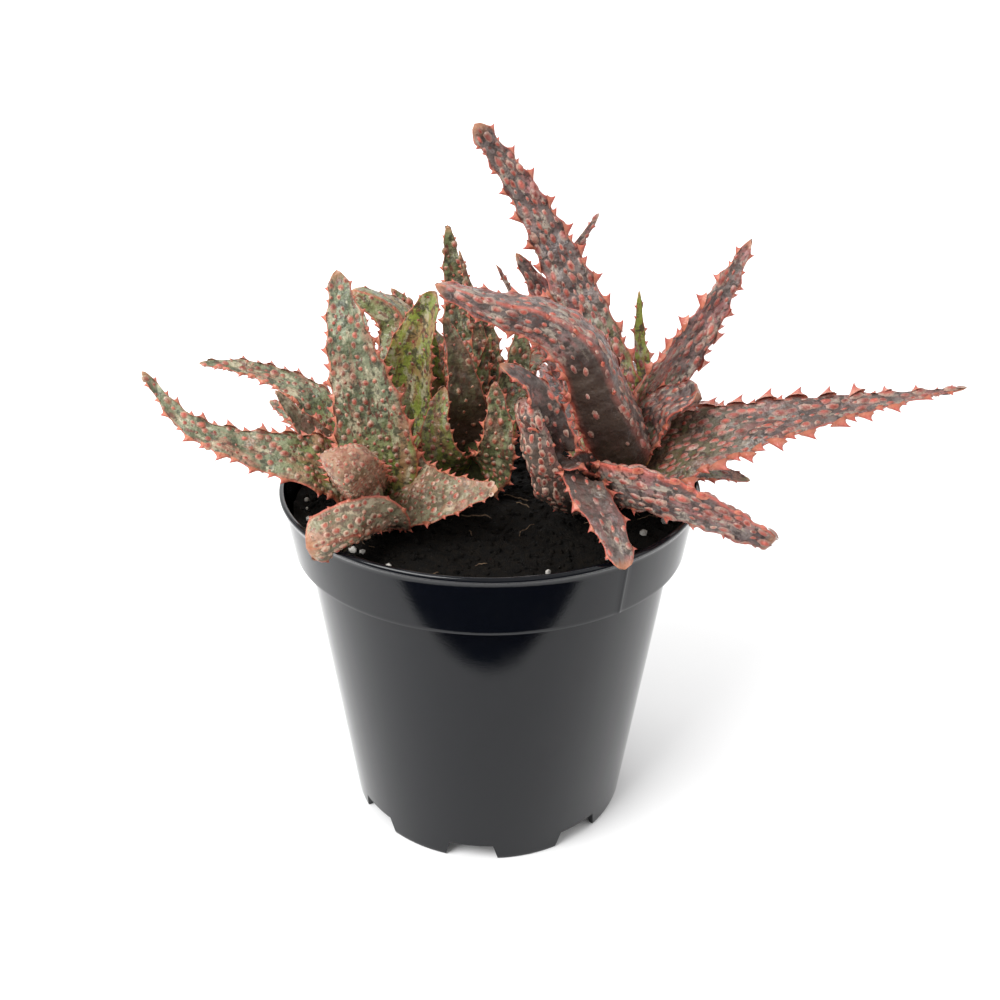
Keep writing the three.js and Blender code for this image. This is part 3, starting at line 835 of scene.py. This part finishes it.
@dataclass
class Soil:
    """The peat mix in the pot: a lumpy surface with crumbs, perlite and root fibres on it."""

    pot: Pot
    level: float = 86.0
    lump: float = 0.7
    gap: float = 1.9
    rings: int = 56
    sides: int = 160
    crumbs: int = 1500
    perlite: int = 46
    fibres: int = 26
    fibre_steps: int = 10
    ripple: float = 0.45
    ripple_scale: float = 0.55
    crisp: float = 50.0
    waves: tuple[Range, ...] = ((0.31, 0.17), (-0.21, 0.43), (0.9, 0.8))

    def rim(self) -> float:
        """Radius of the surface's edge."""
        pot = self.pot
        share = (self.level - self.lump * 1.5 - pot.height + pot.band_height) / pot.band_height
        return pot.band_radius + (pot.top_radius - pot.band_radius) * share - self.gap

    def height(self, x: Array, y: Array) -> Array:
        """Height of the surface at places on it."""
        rise = sum(np.sin(x * along + y * across) for along, across in self.waves) * self.lump / 2
        spots = [(a * self.ripple_scale, b * self.ripple_scale, 7) for a, b in zip(x.ravel(), y.ravel())]
        fine = [self.ripple * noise.fractal(Vector(spot), 0.6, 2.0, 4) for spot in spots]
        return self.level + rise * 0.8 + np.array(fine).reshape(x.shape)

    def surface(self, shell: Shell) -> None:
        """Adds the crumbly top, its side and its underside."""
        turn = full_turn(self.sides)
        radius = self.rim() * np.sqrt(np.linspace(0.0004, 1, self.rings))[:, None]
        x, y = radius * np.cos(turn), radius * np.sin(turn)
        top = np.stack([x, y, self.height(x, y)], -1)
        pot = self.pot
        low = pot.floor_rise + pot.wall + 0.3
        foot = pot.foot_of_band()
        walls = (
            (pot.band_radius - self.gap, foot + pot.wall + 0.6),
            (pot.body_radius - self.gap, foot + 0.3),
            (pot.base_radius + pot.lean() * low - self.gap, low),
            (0.1, low),
        )
        side = [np.stack([r * np.cos(turn), r * np.sin(turn), np.full_like(turn, z)], -1) for r, z in walls]
        points = np.vstack([top, np.array(side)]).reshape(-1, 3)
        faces = grid_faces(self.rings + len(walls), self.sides)[:, ::-1]
        shell.add(points, faces)

    def scatter(self, rng: Random, count: int, inner: float = 0.0) -> Array:
        """Places on the surface, more than inner from the middle as a share of its radius."""
        turn = rng.uniform(0, 2 * math.pi, count)
        radius = self.rim() * np.sqrt(rng.uniform(inner**2, 0.93, count))
        x, y = radius * np.cos(turn), radius * np.sin(turn)
        return np.stack([x, y, self.height(x, y)], -1)

    def lumps(self, shell: Shell, rng: Random, places: Array, sizes: Range, slot: int) -> None:
        """Adds irregular lumps at places.

        Args:
            shell: the surface they are added to.
            rng: where their shapes come from.
            places: their middles.
            sizes: smallest and largest radius.
            slot: number of their material slot.
        """
        golden = (1 + 5**0.5) / 2
        corners = unit(np.array([(0, a, b * golden) for a in (-1, 1) for b in (-1, 1)], float))
        corners = np.vstack([corners, corners[:, [1, 2, 0]], corners[:, [2, 0, 1]]])
        near = np.linalg.norm(corners[:, None] - corners[None], axis=-1) < 1.2
        faces = [
            (a, b, c) if np.dot(np.cross(corners[a], corners[b]), corners[c]) > 0 else (a, c, b)
            for a in range(12)
            for b in range(a + 1, 12)
            for c in range(b + 1, 12)
            if near[a, b] and near[b, c] and near[a, c]
        ]
        for place in places:
            size = rng.uniform(*sizes) * rng.uniform(0.7, 1.15, 3)
            shape = corners * rng.uniform(0.75, 1.1, (len(corners), 1)) * size
            shell.add(place + shape, np.array(faces), slot=slot)

    def threads(self, shell: Shell, rng: Random, slot: int) -> None:
        """Adds thin curled root fibres that lie on the surface.

        Args:
            shell: the surface they are added to.
            rng: where their shapes come from.
            slot: number of their material slot.
        """
        steps = self.fibre_steps
        arch = np.sin(np.linspace(0, math.pi, steps))
        for start in self.scatter(rng, self.fibres):
            heading = rng.uniform(0, 2 * math.pi)
            turns = heading + np.cumsum(rng.normal(0, 0.22, steps))
            length = rng.uniform(3, 9) / steps
            line = start[:2] + np.cumsum(length * np.stack([np.cos(turns), np.sin(turns)], -1), axis=0)
            line *= np.minimum(1, 0.94 * self.rim() / np.linalg.norm(line, axis=1))[:, None]
            high = self.height(line[:, 0], line[:, 1]) + 0.25 + rng.uniform(0.1, 0.9) * arch
            middle = np.column_stack([line, high])
            across = unit(np.cross(np.gradient(middle, axis=0), (0, 0, 1)))
            thick = rng.uniform(0.09, 0.2)
            ring = [middle + across * thick, middle + np.array([0, 0, thick * 1.4]), middle - across * thick]
            shell.add(np.stack(ring, 1).reshape(-1, 3), grid_faces(steps, 3), slot=slot)

    def build(self) -> Object:
        """Builds the soil and dresses it.

        Returns:
            The soil's object.
        """
        rng = np.random.default_rng(SEED)
        shell = Shell()
        self.surface(shell)
        self.lumps(shell, rng, self.scatter(rng, self.crumbs), (0.25, 1.1), 0)
        self.lumps(shell, rng, self.scatter(rng, self.perlite, 0.8) + np.array([0, 0, 0.4]), (0.5, 1.3), 1)
        self.threads(shell, rng, 2)
        materials = [
            Grit("peat", (0.0028, 0.0025, 0.0022), (0.009, 0.007, 0.005), 700, 0.0008).material(),
            Grit("perlite", (0.62, 0.60, 0.56), (0.40, 0.37, 0.33), 900, 0.0004).material(),
            Grit("root_fibre", (0.16, 0.11, 0.07), (0.07, 0.045, 0.03), 1200, 0.0001).material(),
        ]
        made = shell.build("peat_mix", materials)
        made.data.set_sharp_from_angle(angle=math.radians(self.crisp))
        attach(made, "root")
        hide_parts("soil")
        return made


# Stems and leaves


@dataclass
class Stem:
    """The short stem of one rosette."""

    side: str
    x: float
    y: float
    low: float
    high: float
    radius: float
    crown: float = 0.6
    scar: float = 0.35
    sides: int = 40
    rings: int = 40

    def build(self) -> Object:
        """Builds the stem, ringed by old leaf scars, and dresses it.

        Returns:
            The stem's object.
        """
        turn = full_turn(self.sides)
        dome = self.crown * self.radius
        shoulder = self.high - dome
        top = shoulder + dome * np.sin(np.linspace(0.1, 1.55, 12))
        rise = np.concatenate([np.linspace(self.low, shoulder, self.rings), top])
        above = np.clip((rise - self.high + dome) / dome, 0, 1)
        scars = self.scar * np.abs(np.sin(rise * 1.7)) * (above == 0)
        radius = (self.radius * np.sqrt(1 - above**2 * 0.999) - scars)[:, None]
        high = np.repeat(rise[:, None], len(turn), 1)
        points = np.stack([self.x + radius * np.cos(turn), self.y + radius * np.sin(turn), high], -1)
        shell = Shell()
        shell.add(points.reshape(-1, 3), grid_faces(len(rise), len(turn)))
        bark = Grit("stem_skin", (0.12, 0.13, 0.05), (0.06, 0.05, 0.03), 300.0, 0.0004)
        made = shell.build(f"rosette_stem_{self.side}", [bark.material()])
        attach(made, "root")
        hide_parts(f"stem_{self.side}")
        return made


@dataclass
class Blade:
    """The surface of one leaf, from its stem to its tip, with its teeth and warts."""

    leaf: Leaf
    stem: Stem
    soil: Soil
    rng: Random
    step: float = 0.7
    around: int = 36
    thinnest: float = 1.2
    waist: float = 0.7
    waist_length: float = 0.15
    pitch: float = 7.0
    bead: float = 0.3
    rise: float = 0.36
    belly: float = 0.7
    tooth_swell: float = 0.45
    wart_radius: float = 0.68
    waves: tuple[Range, ...] = ((11.0, 0.30), (7.0, 0.20), (4.0, 0.13), (2.6, 0.08))
    rim_room: float = 1.2
    rim_gap: float = 0.35
    soil_gap: float = 0.9
    nowhere: float = -1000.0
    streak: float = 1.0
    dense: float = 0.6
    embers: Spot = (0.5, 0.35, 0.15)

    def __post_init__(self) -> None:
        """Lays the leaf's midrib and measures it."""
        start = np.array([self.stem.x, self.stem.y, self.leaf.root], float)
        bends = np.vstack([start, np.array(self.leaf.path, float)])
        rough = smooth_path(bends, 60)
        self.length = float(lengths(rough).sum())
        self.steps = max(24, round(self.length / self.step))
        self.line = smooth_path(bends, self.steps)
        self.share = np.linspace(0, 1, self.steps + 1)
        self.teeth = max(3, round(self.length / self.pitch))

    def frames(self) -> tuple[Array, Array]:
        """The way up and the way across the leaf at each step of its midrib."""
        along = unit(np.gradient(self.line, axis=0))
        face = np.array(self.leaf.face, float)
        turn = np.array(self.leaf.turn or self.leaf.face, float)
        up = face + (turn - face) * self.share[:, None]
        side = unit(np.cross(up, along))
        return unit(np.cross(along, side)), side

    def sizes(self) -> tuple[Array, Array, Array]:
        """Half width, thickness and depth of the channel at each step."""
        leaf, share = self.leaf, self.share
        part = leaf.blunt + (1 - leaf.blunt) * (1 - share) ** leaf.slope
        part = part * (self.waist + (1 - self.waist) * np.minimum(1, share / self.waist_length))
        half = leaf.width / 2 * part
        thick = np.maximum(self.thinnest, leaf.depth * part**0.7)
        cap = np.clip(0.5 * leaf.blunt * leaf.width / self.length, 0.025, 0.14)
        close = np.sqrt(np.clip(1 - np.clip((share - 1 + cap) / cap, 0, 1) ** 2, 0, 1))
        return half * close, thick * np.maximum(close, 0.02), 0.8 * leaf.channel * half * close

    def bulge(self, share: Array) -> Array:
        """How much the margin swells at the teeth, from 0 to 1."""
        phase = share * self.teeth % 1 - 0.5
        return np.exp(-((phase * self.pitch / 1.5) ** 2))

    def skin(self) -> tuple[Array, Array, Array]:
        """The leaf's surface.

        Returns:
            Its grid of points, of their places across from -1 to 1, and of which face they are on,
            1 for the upper and -1 for the lower.
        """
        up, side = self.frames()
        half, thick, hollow = (size[:, None] for size in self.sizes())
        angle = full_turn(self.around)
        across = np.cos(angle)[None, :]
        lean = np.abs(across)
        above = self.rise * thick * (1 - across**4) * (1 - 0.15 * (1 - across**2)) - hollow * (1 - lean**1.7)
        below = -self.belly * thick * (1 - lean**1.6) - hollow * (1 - lean**1.45)
        edge = self.bead * np.sqrt(np.abs(np.sin(angle))) * lean**8 * np.minimum(1, half / 2)
        face = np.where(np.sin(angle) >= -1e-6, 1.0, -1.0)[None, :]
        high = np.where(face > 0, above + edge, below - edge) + 0.2 * across**4 * np.minimum(1, half)
        swell = self.tooth_swell * self.leaf.teeth * self.bulge(self.share)[:, None] * lean**12
        wide = across * (half + swell * np.minimum(1, half / 2))
        points = self.line[:, None] + side[:, None] * wide[..., None] + up[:, None] * high[..., None]
        points = points + up[:, None] * (self.waviness(points) * np.minimum(1, half / 4))[..., None]
        return points, np.broadcast_to(across, high.shape), np.broadcast_to(face, high.shape)

    def waviness(self, points: Array) -> Array:
        """Gentle unevenness of the flesh, in millimetres."""
        total = np.zeros(points.shape[:2])
        for size, height in self.waves:
            way = unit(self.rng.normal(size=3)) * 2 * math.pi / size
            total += height * np.sin(points @ way + self.rng.uniform(0, 6))
        return total

    def settle(self, points: Array) -> Array:
        """Lifts points that would be in the soil or in the pot's wall."""
        points = points.copy()
        pot = self.soil.pot
        radius = np.hypot(points[..., 0], points[..., 1])
        edge = pot.top_radius - pot.wall - self.rim_room
        over = (radius > edge) & (radius < pot.top_radius + self.rim_room / 2)
        ground = np.where(radius <= edge, self.soil.level + self.soil_gap, self.nowhere)
        floor = np.where(over, pot.height + self.rim_gap, ground)
        under = (points[..., 2] < floor) & (points[..., 2] > pot.foot_of_band())
        points[..., 2] = np.where(under, floor + 0.02 * (points[..., 2] - floor), points[..., 2])
        return points

    def normals(self, points: Array) -> Array:
        """Which way the surface looks at each of its points."""
        along = np.gradient(points, axis=0)
        across = np.roll(points, -1, axis=1) - np.roll(points, 1, axis=1)
        return unit(np.cross(across, along))

    def unrolled(self, points: Array) -> Array:
        """Each point's place on the unrolled skin, shortened along the leaf."""
        up, side = self.frames()
        from_rib = points - self.line[:, None]
        across = np.einsum("rcx,rx->rc", from_rib, side)
        high = np.einsum("rcx,rx->rc", from_rib, up)
        along = np.broadcast_to(self.share[:, None] * self.length * 0.4, across.shape)
        return np.stack([along, across, high], -1) + np.array(self.leaf.path[0], float) * 3

    def paint(self, shell: Shell, points: Array, across: Array, face: Array) -> None:
        """Adds the surface with its skin marks, painted shade among them.

        Args:
            shell: the surface of the leaf's object.
            points: the grid of points.
            across: their places across the leaf.
            face: which face they are on.
        """
        values = TONES[self.leaf.tone]
        share = self.share[:, None]
        lean = np.abs(across)
        margin = np.clip((lean - 0.93) / 0.06, 0, 1)
        keel = np.clip(1 - lean / 0.07, 0, 1) * (face < 0)
        patch = 0.5 + 0.5 * self.waviness(points * 0.8) / 0.7
        lines = 0.0 if values.plain_edges else 1.0
        coral = lines * np.maximum(0.85 * margin, 0.7 * keel) * np.clip(0.45 + patch, 0, 1)
        coral = np.maximum(coral, values.blush * (0.35 + 0.5 * patch))
        cream = 0.22 * values.cream * patch
        root = 2.8 * (1 - values.shade) * np.clip(0.44 - share, 0, 1) * np.where(face > 0, 1, 0.45)
        green = np.clip(values.green * (0.6 + 0.8 * patch) + root, 0, 1)
        # Painted shade: stronger towards the root, or for one_flank tones only on one flank of the back.
        dark = 1.3 - share
        if values.one_flank:
            dark = (face < 0) * (across < 0.02) * np.clip((0.62 - share) * 8, 0, 1)
        shade = np.clip(values.shade * dark * (0.85 + 0.3 * patch), 0, 1)
        # Coral away from the margins fades under the painted shade.
        coral = coral * (1 - 0.6 * shade * (lean < 0.9))
        tip = np.clip((share - 0.96) / 0.04, 0, 1) + 0 * lean
        total = points.shape[0] * points.shape[1]
        mark = np.stack([coral, cream, green], -1).reshape(total, 3)
        dull = 0.2 if values.plain_edges else 1.0
        place = np.stack([shade, 0.7 * dull * tip, 0.35 * tip**3], -1).reshape(total, 3)
        grain = self.unrolled(points).reshape(total, 3)
        shell.add(points.reshape(total, 3), grid_faces(*points.shape[:2]), mark, place, grain)

    def thorn(self, shell: Shell, root: Array, out: Array, along: Array, size: float) -> None:
        """Adds one tooth, a flattened cone that curves towards the leaf's tip.

        Args:
            shell: the surface of the leaf's object.
            root: middle of its foot.
            out: the way it points.
            along: the way to the leaf's tip.
            size: its height in millimetres.
        """
        sides, rings = 8, 6
        flat = unit(np.cross(out, along))
        lift = np.linspace(0, 1, rings)[:, None]
        turn = full_turn(sides)
        curve = root + out * (size * (lift * 1.15 - 0.3)) + along * (0.6 * size * lift**1.8)
        wide = size * (0.5 * (1 - lift) + 0.42 * (1 - lift) ** 3) + 0.07
        ring = along * np.cos(turn)[:, None] * 1.1 + flat * np.sin(turn)[:, None] * 0.6
        points = curve[:, None] + wide[..., None] * ring[None]
        lift = np.repeat(lift.ravel(), sides)
        none = np.zeros_like(lift)
        mark = np.stack([0.65 + 0.3 * lift, none, none], -1)
        place = np.stack([none, np.clip(0.5 - lift, 0, 0.3), np.clip(lift * 1.3 - 0.75, 0, 0.5)], -1)
        shell.add(points.reshape(-1, 3), grid_faces(rings, sides), mark, place)

    def arm(self, shell: Shell, points: Array) -> None:
        """Adds the teeth of both margins and of the keel."""
        half_way = self.around // 2
        down = self.around * 3 // 4
        for column, scale in ((0, 1.0), (half_way, 1.0), (down, 0.75)):
            for index in range(2 * self.teeth):
                whole = index % 2 == 0
                share = (index + 1) / (2 * self.teeth) + self.rng.normal(0, 0.006)
                if share > 0.97 or not whole and self.rng.random() > self.dense:
                    continue
                if column == down and (share < 0.25 or not whole):
                    continue
                row = int(np.clip(share * self.steps, 1, self.steps - 1))
                along = unit(points[row + 1, column] - points[row - 1, column])
                out = points[row, column] - points[row, (column + half_way) % self.around]
                out = unit(out - along * np.dot(out, along))
                grown = min(1, 0.3 + 3 * share, 0.35 + 2 * (1 - share))
                rank = 1.05 if whole else 0.45 + 0.5 * self.dense
                size = self.leaf.teeth * scale * grown * self.rng.uniform(0.8, 1.15) * rank
                self.thorn(shell, points[row, column], out, along, size)

    def dot(self, shell: Shell, root: Array, out: Array, along: Array, size: float) -> None:
        """Adds one wart: a dome with a pale foot and a coral top.

        Args:
            shell: the surface of the leaf's object.
            root: middle of its foot.
            out: the way it stands.
            along: the way that it is drawn out.
            size: its radius in millimetres.
        """
        sides = 7
        turn = full_turn(sides)
        long = self.rng.uniform(1.0, 1.4) * self.streak
        tall = self.rng.uniform(0.55, 1.15)
        ring = along * np.cos(turn)[:, None] * long + unit(np.cross(out, along)) * np.sin(turn)[:, None]
        ring = ring * self.rng.uniform(0.8, 1.15, (sides, 1))
        radii = np.array([1.5, 1.0, 0.55, 0.04])
        highs = np.array([-0.25, 0.34, 0.66, 0.8]) * tall
        points = root + size * (radii[:, None, None] * ring + highs[:, None, None] * out)
        cream = TONES[self.leaf.tone].cream * self.rng.uniform(0.3, 1.1)
        red = self.rng.uniform(0.35, 0.9)
        ember = self.rng.choice([0.05, 0.3, 0.85], p=self.embers)
        mark = [[0.1, 0.2 + 0.5 * cream, 0], [0.35 * red, 0.75 * cream, 0], [0.95 * red, 0, 0], [red, 0, 0]]
        place = [[0, 0, 0], [0, 0.04, 0], [0, 0, 0.45 * ember], [0, 0, ember]]
        mark, place = np.repeat(mark, sides, 0), np.repeat(place, sides, 0)
        shell.add(points.reshape(-1, 3), grid_faces(len(radii), sides), mark, place)

    def stud(self, shell: Shell, points: Array, across: Array, face: Array) -> None:
        """Adds the warts, scattered with some room between them."""
        values = TONES[self.leaf.tone]
        looks = self.normals(points)
        along = unit(np.gradient(points, axis=0))
        room = 0.95 * math.sqrt(100 / values.warts / 0.9)
        skewed = self.rng.uniform(0.5, 1.0, 4000) ** 1.5
        share = self.share[:, None]
        rows, columns = np.nonzero((np.abs(across) < 0.9) & (share > values.bare) & (share < 0.985))
        order = self.rng.permutation(len(rows))
        kept = np.empty((0, 3))
        for row, column in zip(rows[order], columns[order]):
            spot = points[row, column]
            hidden = values.one_flank and face[row, column] < 0 and across[row, column] < -0.05
            if hidden and self.share[row] < 0.58 and self.rng.random() < 0.93:
                continue
            apart = np.linalg.norm(kept - spot, axis=1)
            if len(kept) and np.min(apart) < room * self.rng.uniform(0.75, 1.25):
                continue
            kept = np.vstack([kept, spot])
            size = self.wart_radius * values.wart_size * skewed[len(kept) % len(skewed)]
            self.dot(shell, spot, looks[row, column], along[row, column], size)

    def build(self, side: str, material: bpy.types.Material) -> Object:
        """Builds the leaf and dresses it.

        Args:
            side: name of its rosette.
            material: the skin of the rosette's leaves.

        Returns:
            The leaf's object.
        """
        points, across, face = self.skin()
        points = self.settle(points)
        shell = Shell()
        self.paint(shell, points, across, face)
        self.arm(shell, points)
        self.stud(shell, points, across, face)
        made = shell.build(f"{side}_{self.leaf.name}_blade", [material])
        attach(made, "root")
        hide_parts(f"leaf_{side}_{self.leaf.name}")
        return made


@dataclass
class Rosette:
    """One rosette: its stem and its leaves, dressed alike."""

    stem: Stem
    leaves: tuple[Leaf, ...]
    skin: LeafSkin
    streak: float = 1.0
    dense: float = 0.6
    embers: Spot = (0.5, 0.35, 0.15)

    def build(self, soil: Soil) -> list[Object]:
        """Builds the stem and every leaf.

        Args:
            soil: the soil that the leaves rest on.

        Returns:
            The objects of the rosette.
        """
        material = self.skin.material()
        made = [self.stem.build()]
        for number, leaf in enumerate(self.leaves):
            rng = np.random.default_rng([SEED, number, len(self.leaves)])
            looks = {"streak": self.streak, "dense": self.dense, "embers": self.embers}
            blade = Blade(leaf, self.stem, soil, rng, **looks)
            made.append(blade.build(self.stem.side, material))
        return made


# Studio


@dataclass
class Studio:
    """Camera, lights, floor with a raised back, and a dark sheet that the glossy pot reflects."""

    spot: Spot = (1.6, -241.0, 201.0)
    pitch: float = 25.7
    roll: float = -0.46
    lens: float = 37.66
    world: float = 0.70
    key: float = 7.5
    fill: float = 0.7
    back: float = 26.0
    sheet_edge: float = -101.0
    sheet_reach: float = 900.0
    sheet_height: float = 0.4

    def camera(self) -> None:
        """Sets up the camera."""
        data = bpy.data.cameras.new("camera")
        data.lens = self.lens
        data.sensor_width = 36
        data.clip_start = 0.01
        made = bpy.data.objects.new("camera", data)
        made.location = Vector(self.spot) * MM
        made.rotation_euler = (math.radians(90 - self.pitch), math.radians(self.roll), 0)
        bpy.context.scene.collection.objects.link(made)
        bpy.context.scene.camera = made

    def surroundings(self) -> None:
        """A bright, even world."""
        world = bpy.data.worlds.new("white_studio")
        world.use_nodes = True
        back = world.node_tree.nodes["Background"]
        back.inputs["Color"].default_value = (1, 1, 1, 1)
        back.inputs["Strength"].default_value = self.world
        bpy.context.scene.world = world
        bpy.context.scene.view_settings.view_transform = "Standard"

    def lamp(self, name: str, spot: Spot, size: float, power: float, target: Spot = (0, 0, 100)) -> None:
        """Adds a square area light.

        Args:
            name: its name.
            spot: where it hangs, in millimetres.
            size: its width in metres.
            power: its power in watts.
            target: where it points, at the plant if not given.
        """
        data = bpy.data.lights.new(name, "AREA")
        data.size = size
        data.energy = power
        made = bpy.data.objects.new(name, data)
        made.location = Vector(spot) * MM
        aim = Vector(target) * MM - made.location
        made.rotation_euler = aim.to_track_quat("-Z", "Y").to_euler()
        bpy.context.scene.collection.objects.link(made)

    def floor(self) -> None:
        """Adds the floor, which curves up at the back."""
        bend = np.radians(np.linspace(0, 90, 16))
        back = [(1200 + 500 * math.sin(turn), 500 - 500 * math.cos(turn)) for turn in bend]
        line = np.array([(-1600, 0), (0, 0), *back, (1700, 2200)])
        points = np.stack([[(x, y, z) for x in (-2400, 2400)] for y, z in line])
        shell = Shell()
        shell.add(points.reshape(-1, 3) - np.array([0, 0, 0.02]), grid_faces(len(line), 2, closed=False))
        shell.build("pale_floor", [Floor().material()])

    def reflected_sheet(self) -> None:
        """Adds the dark sheet in front of the floor, which the glossy pot reflects."""
        reach, high = self.sheet_reach, self.sheet_height
        points = np.array([(x, y, high) for y in (-reach, self.sheet_edge) for x in (-reach, reach)])
        shell = Shell()
        shell.add(points, grid_faces(2, 2, closed=False))
        sheet_surface = Grit("dark_sheet_surface", (0.01, 0.01, 0.012), (0.02, 0.02, 0.022), 60, 0.0005)
        made = shell.build("dark_sheet", [sheet_surface.material()])
        # Hidden from the camera, shadows and diffuse light, the sheet shows only in glossy reflections.
        made.visible_camera = False
        made.visible_shadow = False
        made.visible_diffuse = False

    def build(self) -> None:
        """Sets up the whole studio."""
        self.surroundings()
        self.lamp("key", (-420, -380, 620), 0.5, self.key)
        self.lamp("fill", (520, -120, 420), 0.6, self.fill)
        self.lamp("back", (0, 500, 1300), 1.2, self.back, (0, 1700, 700))
        self.floor()
        self.reflected_sheet()


# The whole


LEFT_SKIN = LeafSkin(
    "skin_left",
    flesh=(0.190, 0.215, 0.128),
    mottle=(0.074, 0.092, 0.042),
    flush=(0.380, 0.145, 0.102),
    shadow=(0.080, 0.036, 0.022),
    pale=(0.432, 0.395, 0.264),
)
MIDDLE_SKIN = LeafSkin(
    "skin_middle",
    flesh=(0.13, 0.15, 0.06),
    mottle=(0.06, 0.06, 0.025),
    flush=(0.26, 0.10, 0.075),
    shadow=(0.045, 0.024, 0.014),
    pale=(0.28, 0.29, 0.16),
)
RIGHT_SKIN = LeafSkin(
    "skin_right",
    flesh=(0.158, 0.126, 0.118),
    mottle=(0.070, 0.047, 0.047),
    flush=(0.36, 0.115, 0.108),
    shadow=(0.024, 0.011, 0.008),
    pale=(0.374, 0.315, 0.252),
)


def main() -> None:
    """Builds the plant, its pot and the studio."""
    logging.basicConfig(level=logging.INFO, format="%(message)s")
    studio = Studio()
    studio.camera()
    studio.build()
    pot = Pot()
    log.info("pot: %s", pot.build().name)
    soil = Soil(pot)
    log.info("soil: %s", soil.build().name)
    rosettes = (
        Rosette(
            Stem("left", -31, -2, 64, 97, 5.5), LEFT_LEAVES, LEFT_SKIN, dense=0.95, embers=(0.25, 0.35, 0.4)
        ),
        Rosette(Stem("middle", -4, 7, 66, 99, 4), MIDDLE_LEAVES, MIDDLE_SKIN, dense=0.9),
        Rosette(Stem("right", 34, 0, 62, 102, 6), RIGHT_LEAVES, RIGHT_SKIN, streak=1.6),
    )
    for rosette in rosettes:
        for made in rosette.build(soil):
            log.info("%s rosette: %s, %d faces", rosette.stem.side, made.name, len(made.data.polygons))


if __name__ == "__main__":
    main()
